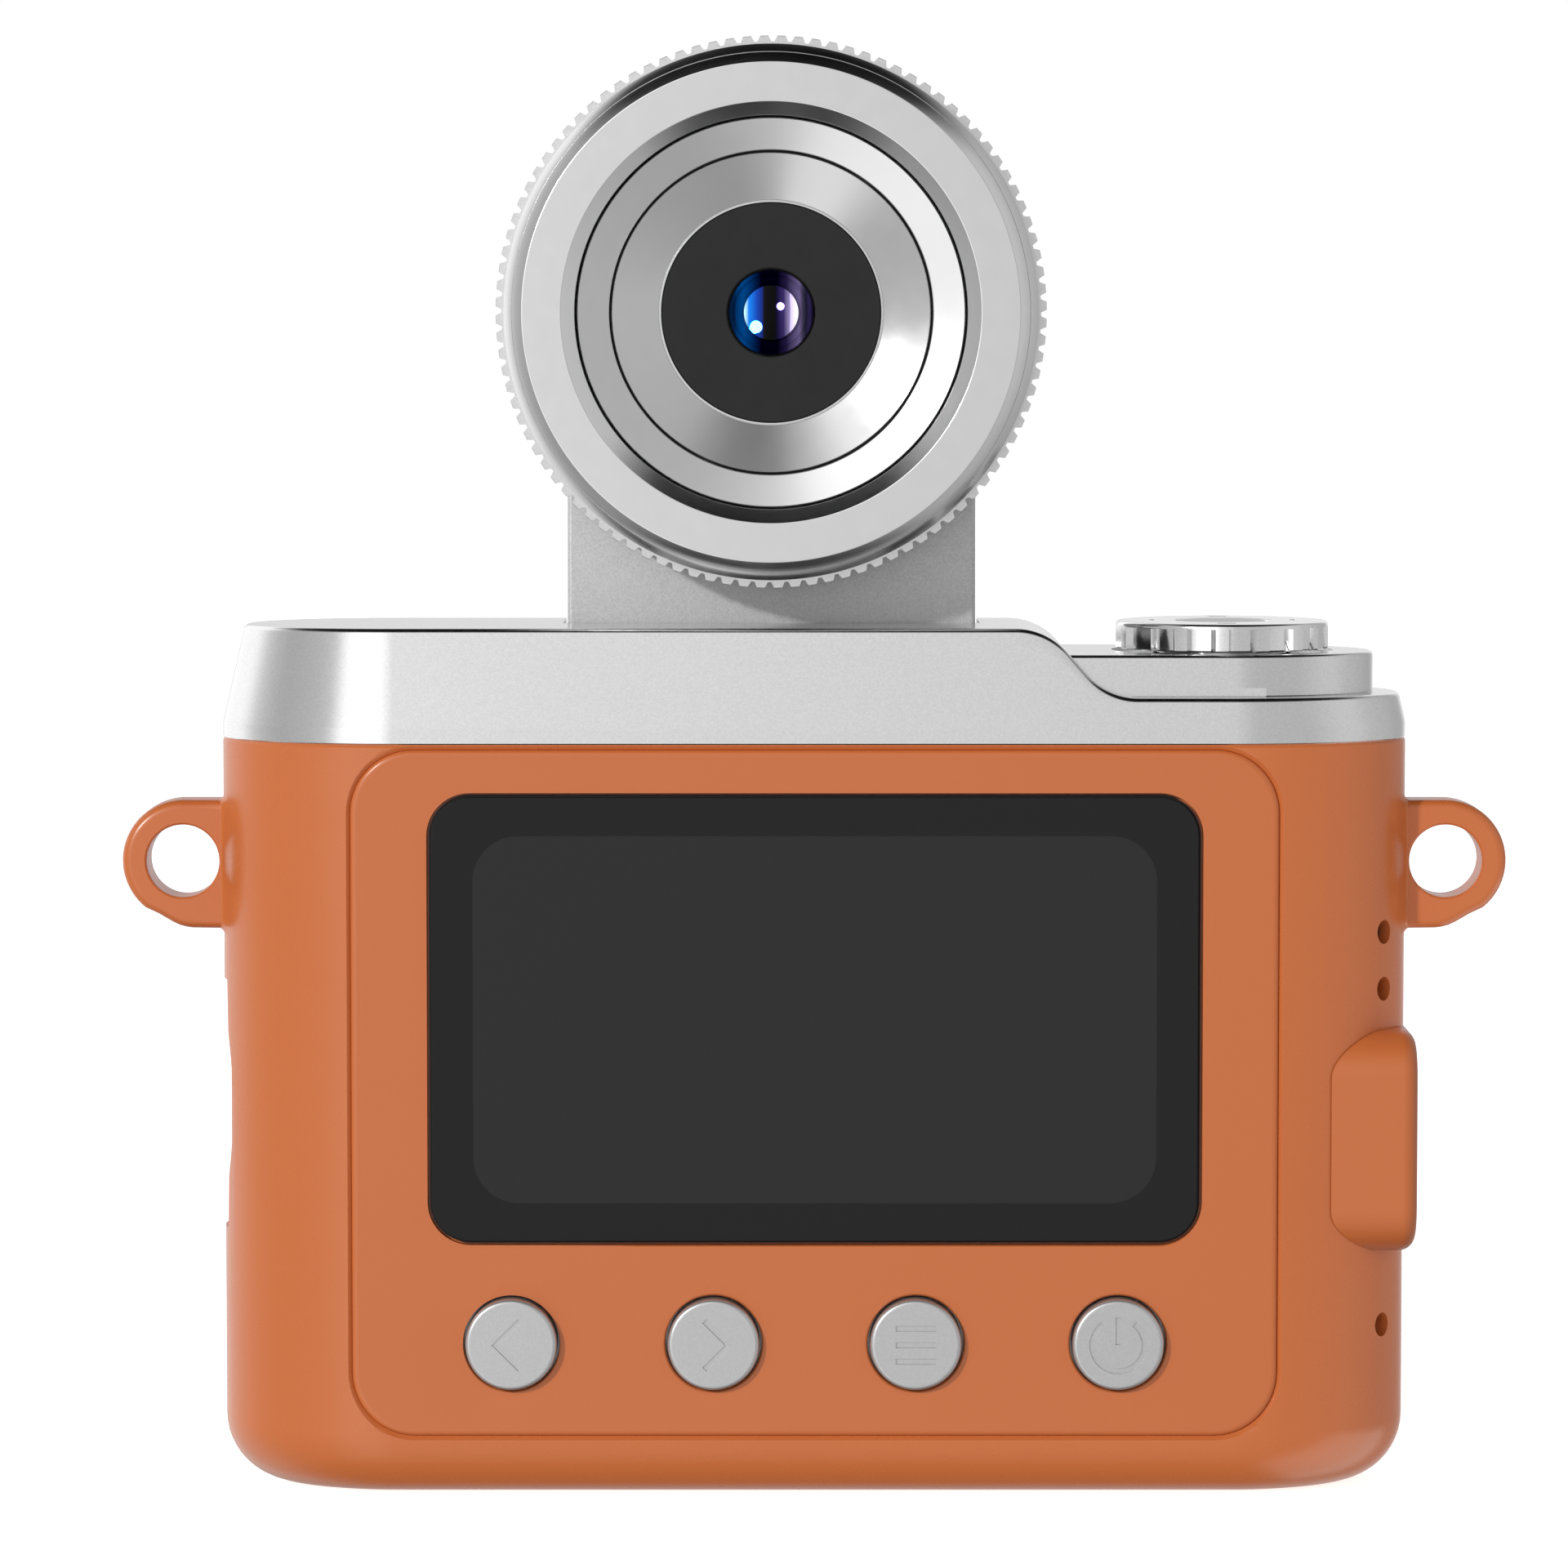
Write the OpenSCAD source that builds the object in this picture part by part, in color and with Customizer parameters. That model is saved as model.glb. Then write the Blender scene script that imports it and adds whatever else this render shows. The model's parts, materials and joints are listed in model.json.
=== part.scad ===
// Compact camera with a lens that flips up over its top to face the user.
// X is the user's right seen from the screen side, +Y the shooting direction
// with the lens folded, +Z up. The origin is the middle of the base.

/* [Body] */
// Width of the body without the strap lugs
body_w = 94; // [90:1:98]
// Depth of the body
body_d = 23; // [22:0.5:25]
// Length of each rounded end, measured along the width
end_len = 14.1; // [12:0.1:16]
// Height of the joint between the body and the top cover
seam_z = 59.4; // [58:0.2:61]
// Radius of the rounding along the bottom edge
bottom_r = 5.3; // [4:0.1:6]
// Wall thickness of the body
wall = 2; // [1.6:0.1:2.2]

/* [Top cover] */
// Height of the straight band above the joint
lip_h = 1.3; // [1:0.1:2]
// Height of the flat top over the base
top_z = 68.4; // [68:0.1:70]
// How far the sloped wall leans in up to the top
taper = 1.8; // [1:0.1:2.2]
// Height of the low shoulder under the dial deck
shoulder_z = 63; // [62.5:0.1:63.5]
// Where the top starts to curve down towards the dial
ramp_x = 15.7; // [15:0.1:17]
// Radius of both bends of that ramp
ramp_r = 5.3; // [4:0.1:6]
// Steepest slope of the ramp, in degrees
ramp_slope = 49; // [40:1:60]

/* [Dial] */
// Height of the dial deck's top
deck_z = 66.3; // [66:0.1:66.8]
// Dial centre along the width
dial_x = 32.4; // [31:0.1:33]
// Outer radius of the dial
dial_r = 8.43; // [7.5:0.05:8.6]
// Height of the dial over the deck
dial_h = 2.2; // [1.8:0.1:3]
// Finger notches around the dial
dial_notches = 16; // [12:1:24]
// Radius of the shutter button in the dial's middle
shutter_r = 3.6; // [3:0.1:3.7]

/* [Screen side] */
// Half width of the rear cover
cover_x = 36.1; // [35:0.1:37]
// Bottom of the rear cover
cover_z0 = 5.1; // [5:0.1:6]
// Top of the rear cover
cover_z1 = 59.2; // [58.8:0.1:59.3]
// Corner radius of the rear cover
cover_r = 5; // [4:0.1:6]
// Width of the screen glass
glass_w = 60.2; // [58:0.1:61]
// Height of the screen glass
glass_h = 35.1; // [34:0.1:36]
// Height of the screen glass's centre over the base
glass_z = 37.9; // [37:0.1:38]
// Radius of a button's face
button_r = 3.58; // [3:0.02:3.7]
// Spacing between neighbouring buttons
button_pitch = 15.84; // [13:0.02:16]
// Height of the button row over the base
button_z = 12.43; // [12:0.1:12.6]
// How far the buttons stand out of the cover
button_proud = 0.9; // [0.5:0.1:1.2]

/* [Lens] */
// Lens axis along the width
lens_x = -3.4; // [-3.6:0.1:-3]
// Height of the lens axis with the lens flipped up
lens_z = 93; // [92:0.5:94]
// Width of the flip arm
arm_w = 32.4; // [30:0.1:32.8]
// Thickness of the flip arm
arm_t = 11; // [10.6:0.1:11]
// Height of the hinge axis over the base
hinge_z = 62.7; // [62.4:0.1:63]
// Radius over the grip ring's teeth
grip_r = 21.55; // [21:0.05:22]
// Teeth around the grip ring
grip_teeth = 100; // [60:1:120]
// Length of the lens tube in front of the arm
barrel_h = 11.6; // [11:0.1:12]

/* [Straps and sides] */
// Strap hole centre, from the middle of the body
lug_x = 50.1; // [49.5:0.1:51]
// Height of the strap hole
lug_z = 49.6; // [48:0.1:51]
// Radius of the strap hole
lug_hole_r = 2.87; // [2.2:0.05:3]
// Outer radius of the strap lug
lug_r = 4.84; // [4.5:0.05:5]
// Thickness of the strap lug
lug_t = 4.5; // [3.5:0.1:5]
// Height of the port cover's centre
port_z = 28.15; // [27:0.1:29]
// Height of the port cover
port_h = 18.1; // [16:0.1:19]
// Outer face of the port cover
port_x = 47.9; // [47.6:0.1:48.4]

/* [Hidden] */

ORANGE = "#cb754c";
SILVER = "#cdcdcd";
DARK = "#2d2d2d";
STEEL = "#9a9da1";
BRASS = "#c2a14f";
BOARD = "#2f6b45";

$fn = 96;
end_steps = 32;
slide_gap = 0.05;
rear_y = -body_d / 2;
flat_half = body_w / 2 - end_len;
lip_z = seam_z + lip_h;
roof_t = 1.6;
ramp_drop = top_z - shoulder_z;
ramp_run = (ramp_drop - 2 * ramp_r * (1 - cos(ramp_slope))) / tan(ramp_slope);
ramp_end = ramp_x + 2 * ramp_r * sin(ramp_slope) + ramp_run;
deck_inset = 2.6;

hinge_y = arm_t / 2;
arm_x0 = lens_x - arm_w / 2;
arm_x1 = lens_x + arm_w / 2;
arm_top = 103;
slot_gap = 0.35;
slot_x0 = arm_x0 - slot_gap;
slot_x1 = arm_x1 + slot_gap;
slot_z = 2 * hinge_z - arm_top - 0.5;
cheek = 1.2;
arm_wall = 1.5;
arm_cover_t = 1.55;
arm_seam = 0.05;
foot_h = 7.3;
arm_posts = [for (x = [-12.6, 12.6], z = [74.2, 99.4]) [lens_x + x, z]];

cover_t = wall;
cover_gap = 0.12;
glass_t = 1;
glass_inset = 0.05;
glass_gap = 0.2;
glass_corner = 3.2;
window_w = 55;
window_h = 30;
board_y = -5.5;
board_t = 1.2;
posts = [for (x = [-34, 34], z = [7.6, 55.4]) [x, z]];
button_x = [-1.5, -0.5, 0.5, 1.5] * button_pitch;

pin_r = 1.5;
bush_r = 2.6;
bush_len = 3;
clip_groove = 0.5;
washer_t = 0.6;
clip_h = slot_x1 + bush_len - lens_x + washer_t + 0.1;
dial_base = deck_z + 0.15;
dial_top = dial_base + dial_h;
hub_r = 5.2;
dial_cap = 0.4;
notch_w = 2.1;
notch_depth = 0.5;
icon_line = 0.46;
icon_depth = 0.1;
tripod_x = -20;
tripod_r = 2.55;
tripod_len = 7;
card_y = -2.1;
card_z = 30.3;
card_floor = body_w / 2 - 0.8;
port_w = 18.8;
port_hinge = [41.1, 9.4];
port_pin_r = 0.8;
port_pin_h = 6;

// Lens tube radii from the centre out, then heights in front of the arm
mask_r = 8.55;
inner_ring_in = 8.6;
inner_ring_r = 12.42;
outer_ring_in = 12.62;
outer_ring_r = 15.1;
bezel_in = 15.27;
bezel_flat = 16.5;
bezel_edge = 19.55;
bezel_r = 20.9;
bezel_fall = 0.86;
band_tilt = [35, 60];
band_r = (bezel_r - bezel_edge) / (sin(band_tilt[1]) - sin(band_tilt[0]));
track_r = 20.35;
seat_r = 10;
cell_r = 8.35;
flange_h = 0.7;
flange_t = 0.9;
track_h = 7;
carrier_h = 6.85;
mask_h = 7.3;

// ---- shared shapes ----

// Points along an arc, angles in degrees
function arc(cx, cy, r, a0, a1, n = 12) =
  [for (i = [0:n]) let (a = a0 + (a1 - a0) * i / n) [cx + r * cos(a), cy + r * sin(a)]];

// How far out the rounded end reaches at a depth
function end_x(y) = flat_half + end_len * sqrt(1 - pow(y / (body_d / 2), 2));

// Plan outline of the body: flat front and rear, elliptical ends, shrunk by inset
function plan(inset = 0) = [for (s = [0, 1], i = [0:end_steps])
  let (a = 180 * i / end_steps - 90, n = [cos(a) / end_len, sin(a) / (body_d / 2)],
    p = [flat_half + end_len * cos(a), body_d / 2 * sin(a)] - inset * n / norm(n))
  (1 - 2 * s) * p];
module outline(inset = 0) polygon(plan(inset));

// Closed solid through plan outlines, given as [height, inset] from the bottom up
module loft(levels) {
  n = 2 * (end_steps + 1);
  last = n * (len(levels) - 1);
  polyhedron(
    points = [for (l = levels) each [for (p = plan(l[1])) [p.x, p.y, l[0]]]],
    faces = concat([[for (i = [0:n - 1]) i]], [[for (i = [n - 1:-1:0]) last + i]],
      [for (k = [0:n:last - n], i = [0:n - 1]) each let (a = k + i, b = k + (i + 1) % n)
        [[a, a + n, b + n], [a, b + n, b]]]));
}

// Lower body with its bottom edge rounded, shrunk all round by inset
module body_form(inset = 0, top = seam_z) let (r = bottom_r - inset)
  loft(concat([for (a = [90:-15:0]) [bottom_r - r * sin(a), bottom_r - r * cos(a)]], [[top, inset]]));

// Upper body: a straight band, then walls leaning in
module top_form(inset = 0, bottom = seam_z)
  loft([[bottom, inset], [lip_z, inset], [top_z, taper + inset]]);

// Side outline of the top cover, from the flat top down the ramp to the shoulder
module top_profile(bottom) polygon(concat(
  [[-60, bottom], [-60, top_z]],
  arc(ramp_x, top_z - ramp_r, ramp_r, 90, 90 - ramp_slope),
  arc(ramp_end, shoulder_z + ramp_r, ramp_r, 270 - ramp_slope, 270),
  [[60, shoulder_z], [60, bottom]]));

module along_y(y0, y1) translate([0, y1, 0]) rotate([90, 0, 0]) linear_extrude(y1 - y0) children();
module along_x(x0, x1) translate([x0, 0, 0]) rotate([90, 0, 90]) linear_extrude(x1 - x0) children();
module block(lo, hi) translate(lo) cube(hi - lo);
module rod_x(x0, x1, y, z, r) translate([x0, y, z]) rotate([0, 90, 0]) cylinder(r = r, h = x1 - x0);
module rod_y(y0, y1, x, z, r) translate([x, y0, z]) rotate([-90, 0, 0]) cylinder(r = r, h = y1 - y0);

// Rectangle with round corners, centred
module rounded(w, h, r) {
  square([w - 2 * r, h], center = true);
  square([w, h - 2 * r], center = true);
  for (x = [-1, 1], y = [-1, 1]) translate([x * (w / 2 - r), y * (h / 2 - r)]) circle(r = r, $fn = 48);
}

// Lens parts turn about the lens axis, with their height towards the front glass
module on_lens(h = 0) translate([lens_x, -h, lens_z]) rotate([90, 0, 0]) children();
module turned(points) on_lens() rotate_extrude() polygon(points);
module tube(r0, r1, h) difference() {
  cylinder(r = r1, h = h);
  translate([0, 0, -1]) cylinder(r = r0, h = h + 2);
}

// Places something along the normal of the rounded end at a given depth
module on_end(y, z) translate([end_x(y), y, z])
  rotate([0, 90, atan2(y / pow(body_d / 2, 2), (end_x(y) - flat_half) / pow(end_len, 2))]) children();

module cover_outline(gap = 0) translate([0, (cover_z0 + cover_z1) / 2])
  rounded(2 * cover_x + 2 * gap, cover_z1 - cover_z0 + 2 * gap, cover_r + gap);

// ---- casing ----

module lug() difference() {
  along_y(-lug_t / 2, lug_t / 2) {
    translate([lug_x, lug_z]) circle(r = lug_r);
    polygon([[lug_x, lug_z + lug_r], [45.2, lug_z + lug_r], [45.2, lug_z - 5.3],
      [lug_x + 0.65, lug_z - 5.3], [lug_x + 3.25, lug_z - 3.53], [lug_x, lug_z]]);
  }
  rod_y(-lug_t, lug_t, lug_x, lug_z, lug_hole_r);
}

module body_shell() color(ORANGE) difference() {
  union() {
    difference() {
      body_form();
      body_form(wall, seam_z + 1);
    }
    intersection() {
      body_form();
      block([slot_x0 - cheek, -slot_gap - cheek, slot_z - cheek], [slot_x1 + cheek, 20, seam_z]);
    }
    for (p = posts) rod_y(board_y + board_t, body_d / 2 - wall / 2, p.x, p.y, 2.2);
    translate([tripod_x, 0, wall / 2]) cylinder(r = 6, h = tripod_len + 0.5);
    lug();
    mirror([1, 0, 0]) lug();
  }
  block([slot_x0, -slot_gap, slot_z], [slot_x1, 20, seam_z + 1]);
  along_y(rear_y - 1, rear_y + wall + 1) cover_outline();
  for (p = posts) rod_y(board_y - 1, board_y + board_t + 7, p.x, p.y, 1);
  translate([tripod_x, 0, -1]) cylinder(r = 4.2, h = tripod_len + 1);
  card_recess();
  block([-50, card_y - 0.7, card_z - 5.7], [-40, card_y + 0.7, card_z + 5.7]);
  block([40, -4.6, port_z - 1.75], [50, 4.6, port_z + 1.75]);
  port_pin(0.12);
  for (z = [44.3, 39.8, 13.1]) on_end(-6, z) translate([0, 0, -5]) cylinder(r = 0.95, h = 8);
  for (i = [0:5]) rod_y(8, 13, 29 + 3 * cos(60 * i), 45 + 3 * sin(60 * i), 0.6);
  rod_y(8, 13, 29, 45, 0.6);
}

// Shallow recess around the card slot, with a finger scoop on the screen side
module card_recess() along_x(-card_floor - 5, -card_floor) {
  translate([-2.7, card_z - 9.9]) square([5.4, 19.8]);
  intersection() {
    translate([11.2, card_z]) circle(r = 15.3);
    translate([-5, card_z - 8]) square([5, 16]);
  }
}

module rear_cover() color(ORANGE) difference() {
  intersection() {
    body_form();
    along_y(rear_y - 1, rear_y + cover_t) cover_outline(-cover_gap);
  }
  along_y(rear_y - 1, rear_y + glass_t + glass_inset) translate([0, glass_z])
    rounded(glass_w + 2 * glass_gap, glass_h + 2 * glass_gap, glass_corner + glass_gap);
  along_y(rear_y - 1, rear_y + 5) translate([0, glass_z]) square([window_w, window_h], center = true);
  for (x = button_x) rod_y(rear_y - 1, rear_y + 5, x, button_z, button_r + 0.2);
}

module top_cover() color(SILVER) difference() {
  union() {
    difference() {
      intersection() {
        top_form();
        along_y(-20, 20) top_profile(seam_z);
      }
      intersection() {
        top_form(wall - 0.2, seam_z - 1);
        along_y(-20, 20) offset(delta = -roof_t) top_profile(seam_z - 10);
      }
    }
    intersection() {
      top_form();
      along_y(-20, 20) top_profile(seam_z);
      union() {
        block([slot_x0 - cheek, -slot_gap - cheek, seam_z], [slot_x1 + cheek, 20, top_z]);
        block([slot_x0 - bush_len, 1.5, seam_z], [slot_x1 + bush_len, 20, top_z - 0.5]);
      }
    }
  }
  block([slot_x0, -slot_gap, seam_z - 1], [slot_x1, 20, top_z + 1]);
  rod_x(slot_x0 - bush_len - 1, slot_x1 + bush_len + 1, hinge_y, hinge_z, bush_r);
  translate([dial_x, 0, seam_z]) cylinder(r = 7.8, h = 6);
}

module dial_deck() color(SILVER) difference() {
  translate([0, 0, shoulder_z]) linear_extrude(deck_z - shoulder_z) outline(deck_inset);
  translate([0, 0, shoulder_z - 1]) linear_extrude(deck_z - shoulder_z - 0.8) difference() {
    outline(deck_inset + roof_t);
    translate([-60, -20]) square([60 + ramp_end, 40]);
  }
  along_y(-20, 20) offset(delta = 0.03) top_profile(seam_z);
  translate([dial_x, 0, shoulder_z]) cylinder(r = hub_r + 0.3, h = 6);
  translate([dial_x, 0, deck_z - 0.25]) cylinder(r = dial_r + 0.35, h = 1);
}

// ---- screen, keys and electronics ----

module screen_glass() color(DARK) along_y(rear_y + glass_inset, rear_y + glass_inset + glass_t)
  translate([0, glass_z]) rounded(glass_w, glass_h, glass_corner);

module display_panel() color("#353535") {
  block([-29.5, rear_y + cover_t + 0.6, glass_z - 17], [29.5, rear_y + cover_t + 2.8, glass_z + 17]);
  block([-26.6, rear_y + cover_t - 0.7, glass_z - 14.3], [26.6, rear_y + cover_t + 0.6, glass_z + 14.3]);
}

module display_gasket() color(DARK) difference() {
  block([-29.5, rear_y + cover_t, glass_z - 17], [29.5, rear_y + cover_t + 0.6, glass_z + 17]);
  block([-27, rear_y, glass_z - 14.6], [27, 0, glass_z + 14.6]);
}

module key_board() color(BOARD) {
  block([-27.5, -7.2, button_z - 3.6], [27.5, -6.3, button_z + 3.6]);
  for (x = button_x) rod_y(-8.1, -7.2, x, button_z, 1.6);
}

module main_board() color(BOARD) {
  difference() {
    block([-37.5, board_y, 5.6], [37.5, board_y + board_t, 57.6]);
    for (p = posts) rod_y(board_y - 1, board_y + 3, p.x, p.y, 1.15);
    translate([tripod_x, 0, 0]) cylinder(r = 6.3, h = tripod_len + 3);
  }
  block([-8, board_y + board_t, 30], [3, board_y + board_t + 1.2, 41]);
  block([-2, board_y + board_t, 12], [8, board_y + board_t + 1, 18]);
  block([20, board_y + board_t, 48], [27, board_y + board_t + 1.6, 52]);
}

module board_screws() color(STEEL) for (p = posts) {
  rod_y(board_y, board_y + board_t + 5, p.x, p.y, 1);
  difference() {
    rod_y(board_y - 0.7, board_y, p.x, p.y, 2);
    rod_y(board_y - 1, board_y - 0.3, p.x, p.y, 0.6);
  }
}

module battery() color("#8a93a3") block([-41, 0.9, 10.5], [-22, 6.6, 51.5]);
module battery_pad() color(DARK) block([-39.5, 6.6, 13], [-23.5, 7.2, 49]);

module speaker() color(DARK) difference() {
  rod_y(5.4, 8.6, 29, 45, 7.2);
  rod_y(7.8, 9, 29, 45, 5.2);
}

// Small parts that look out through the holes in the rounded end
module microphone() color(STEEL) on_end(-6, 39.8) translate([0, 0, -3.6]) cylinder(r = 1.6, h = 1.4);
module status_light() color("white") on_end(-6, 44.3) translate([0, 0, -3.4]) cylinder(r = 0.85, h = 2.4);
module reset_switch() color(STEEL) on_end(-6, 13.1) translate([0, 0, -3.6]) {
  cylinder(r = 1.5, h = 1.4);
  cylinder(r = 0.7, h = 2.2);
}

module port_board() color(BOARD) block([30, -2.8, port_z - 2.8], [42.5, 5.6, port_z - 1.65]);
module usb_port() color(STEEL) difference() {
  along_x(38.2, 45.8) translate([0, port_z]) rounded(8.94, 3.26, 1.5);
  difference() {
    along_x(39.2, 47) translate([0, port_z]) rounded(8.34, 2.56, 1.2);
    block([38, -3.3, port_z - 0.35], [45, 3.3, port_z + 0.35]);
  }
}

module card_socket() color(STEEL) difference() {
  block([-43.2, board_y + board_t, card_z - 6.6], [-30.2, card_y + 0.9, card_z + 6.6]);
  block([-45, card_y - 0.6, card_z - 5.6], [-30.95, card_y + 0.6, card_z + 5.6]);
}

module tripod_insert() color(BRASS) translate([tripod_x, 0, 0]) tube(tripod_r, 4.2, tripod_len);

// ---- dial and shutter ----

module dial_encoder() color(DARK) translate([dial_x, 0, seam_z + 0.6])
  difference() {
    tube(3.4, 7.4, 2.2);
    translate([0, 0, 1]) cylinder(r = hub_r + slide_gap, h = 3);
  }

module shutter_switch() color(STEEL) translate([dial_x, 0, seam_z + 0.6]) {
  cylinder(r = 3, h = 1.2);
  cylinder(r = 1.3, h = 1.9);
}

module mode_dial() color(SILVER) translate([dial_x, 0, 0]) difference() {
  union() {
    translate([0, 0, dial_base]) cylinder(r = dial_r, h = dial_h);
    translate([0, 0, seam_z + 1.7]) cylinder(r = hub_r, h = dial_base - seam_z - 1.6);
  }
  translate([0, 0, seam_z]) cylinder(r = shutter_r + 0.15, h = 12);
  for (i = [0:dial_notches - 1]) rotate((i + 0.5) * 360 / dial_notches)
    block([dial_r - notch_depth, -notch_w / 2, dial_base - 1],
      [dial_r + 1, notch_w / 2, dial_top - dial_cap]);
}

module shutter_button() color(SILVER) translate([dial_x, 0, 0]) {
  translate([0, 0, dial_top - 1.6]) cylinder(r = shutter_r, h = 1.6);
  translate([0, 0, seam_z + 3.1]) cylinder(r = 1.3, h = dial_top - seam_z - 4.2);
}

// ---- screen side buttons, engraved with plain pictograms ----

module button(i) color(SILVER) translate([button_x[i], 0, button_z]) difference() {
  union() {
    rod_y(rear_y - button_proud, -9.3, 0, 0, button_r);
    rod_y(-9.35, -8.75, 0, 0, button_r + 1);
  }
  along_y(rear_y - button_proud - 1, rear_y - button_proud + icon_depth) children();
}

// A straight stroke that starts at the origin
module line(length) translate([0, -icon_line / 2]) square([length, icon_line]);
module chevron() for (s = [-1, 1]) rotate(s * 45) translate([-icon_line / 2, 0]) line(2.7);
module previous_button() button(0) translate([-1.2, 0]) chevron();
module next_button() button(1) translate([1.2, 0]) mirror([1, 0]) chevron();
module menu_button() button(2) for (z = [-1.3, 0, 1.3]) translate([-1.5, z]) line(3);
module power_button() button(3) {
  difference() {
    circle(r = 2.28);
    circle(r = 2.28 - icon_line);
    translate([-1.2, 0]) square([2.4, 4]);
  }
  rotate(90) line(2.1);
}

// ---- side pieces ----

module memory_card() color(DARK) difference() {
  block([-46.05, card_y - 0.5, card_z - 5.5], [-31.05, card_y + 0.5, card_z + 5.5]);
  block([-35, card_y - 1, card_z + 4.6], [-30, card_y + 1, card_z + 6]);
}

// Round bead the port cover turns on, and the groove it sits in when made larger
module port_pin(gap = 0) translate([port_hinge.x, port_hinge.y, port_z - port_pin_h - gap])
  cylinder(r = port_pin_r + gap, h = 2 * (port_pin_h + gap), $fn = 48);

// A cover over the charging port, hinged along its front edge
module port_cover() color(ORANGE) {
  difference() {
    intersection() {
      along_x(38, port_x) translate([0, port_z]) rounded(port_w, port_h, 3.5);
      linear_extrude(seam_z) translate([port_x - 20, 0]) rounded(40, port_w, 1.6);
    }
    linear_extrude(seam_z) outline(-0.15);
  }
  port_pin();
}

// ---- hinge ----

module hinge_bushes() color(BRASS) for (s = [[slot_x0 - bush_len, slot_x0], [slot_x1, slot_x1 + bush_len]])
  difference() {
    rod_x(s[0], s[1], hinge_y, hinge_z, bush_r);
    rod_x(s[0] - 1, s[1] + 1, hinge_y, hinge_z, pin_r + slide_gap);
  }

// One end of the hinge, built at the left and mirrored about the lens axis for the right
module both_ends() for (s = [0, 1]) translate([lens_x, hinge_y, hinge_z])
  mirror([s, 0, 0]) rotate([0, -90, 0]) children();
module friction_washers() color(STEEL) both_ends()
  translate([0, 0, slot_x1 + bush_len - lens_x]) tube(pin_r + 0.1, 2.5, washer_t);
module hinge_pins() color(STEEL) both_ends() difference() {
  translate([0, 0, arm_w / 2 - 5]) cylinder(r = pin_r, h = clip_h - arm_w / 2 + 6);
  translate([0, 0, clip_h]) tube(1.1, 3, clip_groove);
}
module hinge_clips() color(STEEL) both_ends() translate([0, 0, clip_h]) difference() {
  tube(1.1, 2.4, clip_groove);
  translate([0, -0.8, -1]) cube([3, 1.6, 3]);
}

// ---- flip arm ----

// Everything wide enough for the arm between two heights over the hinge
module band(h0, h1 = 100) translate([lens_x - 50, hinge_z + h0]) square([100, h1 - h0]);

module arm_outline(inset = 0) intersection() {
  translate([lens_x, (hinge_z + arm_top) / 2 - 4])
    rounded(arm_w - 2 * inset, arm_top - hinge_z + 8 - 2 * inset, 4 - inset);
  band(0);
}

module arm_shell() color(SILVER) difference() {
  union() {
    along_y(0, arm_t) arm_outline();
    rod_x(arm_x0, arm_x1, hinge_y, hinge_z, hinge_y);
  }
  difference() {
    along_y(arm_wall, arm_t) intersection() {
      arm_outline(arm_wall);
      band(foot_h + arm_wall);
    }
    for (p = arm_posts) rod_y(0, arm_t, p.x, p.y, 2);
  }
  along_y(arm_t - arm_cover_t - arm_seam, arm_t + 1) band(foot_h);
  for (p = arm_posts) rod_y(arm_t - 7, arm_t, p.x, p.y, 0.8);
  rod_y(-1, 3, lens_x, lens_z, cell_r + 0.25);
  rod_x(arm_x0 - 1, arm_x0 + 5, hinge_y, hinge_z, pin_r);
  rod_x(arm_x1 - 5, arm_x1 + 1, hinge_y, hinge_z, pin_r);
  block([lens_x - 4.5, hinge_y - 0.6, hinge_z + 3], [lens_x + 4.5, hinge_y + 0.6, hinge_z + 10]);
}

module arm_cover() color(SILVER) difference() {
  along_y(arm_t - arm_cover_t, arm_t) intersection() {
    arm_outline();
    band(foot_h + arm_seam);
  }
  for (p = arm_posts) {
    rod_y(0, 20, p.x, p.y, 0.9);
    rod_y(arm_t - 0.8, 20, p.x, p.y, 1.6);
  }
}

module arm_screws() color(STEEL) for (p = arm_posts) {
  rod_y(arm_t - 6, arm_t - 0.8, p.x, p.y, 0.8);
  difference() {
    rod_y(arm_t - 0.8, arm_t - 0.1, p.x, p.y, 1.5);
    translate([p.x, arm_t, p.y]) for (a = [0, 90]) rotate([0, a, 0]) cube([1.8, 0.8, 0.4], center = true);
  }
}

module sensor_board() color(BOARD) block([lens_x - 9, 4.4, lens_z - 8], [lens_x + 9, 5.4, lens_z + 6.5]);
module image_sensor() color(DARK) {
  block([lens_x - 4.5, 3.2, lens_z - 4], [lens_x + 4.5, 4.4, lens_z + 4]);
  block([lens_x - 2.5, 3, lens_z - 1.8], [lens_x + 2.5, 3.2, lens_z + 1.8]);
}
module lens_flex() color("#c98a3a") block([lens_x - 4, 5.4, hinge_z + 3.2], [lens_x + 4, 5.6, lens_z - 2]);

// ---- lens tube ----

// A small seat stands on the arm, so the wide flange clears the body when folded
module lens_barrel() color(SILVER) turned([[cell_r + 0.05, 0], [seat_r, 0], [seat_r, flange_h],
  [bezel_r, flange_h], [bezel_r, flange_h + flange_t], [track_r, flange_h + flange_t], [track_r, track_h],
  [18.5, track_h], [18.5, flange_h + flange_t], [9.4, flange_h + flange_t], [9.4, 5.9],
  [cell_r + 0.05, 5.9]]);

// Flat front with a dished inner edge, and a convex band that leans from the first tilt to the second
module front_bezel() color(SILVER) turned(concat(
  [[bezel_in, 5.95], [18.45, 5.95], [18.45, track_h + 0.05], [bezel_r, track_h + 0.05]],
  arc(bezel_edge - band_r * sin(band_tilt[0]), barrel_h - band_r * cos(band_tilt[0]), band_r,
    90 - band_tilt[1], 90 - band_tilt[0]),
  [[bezel_flat, barrel_h], [bezel_in, barrel_h - bezel_fall]]));

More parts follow.
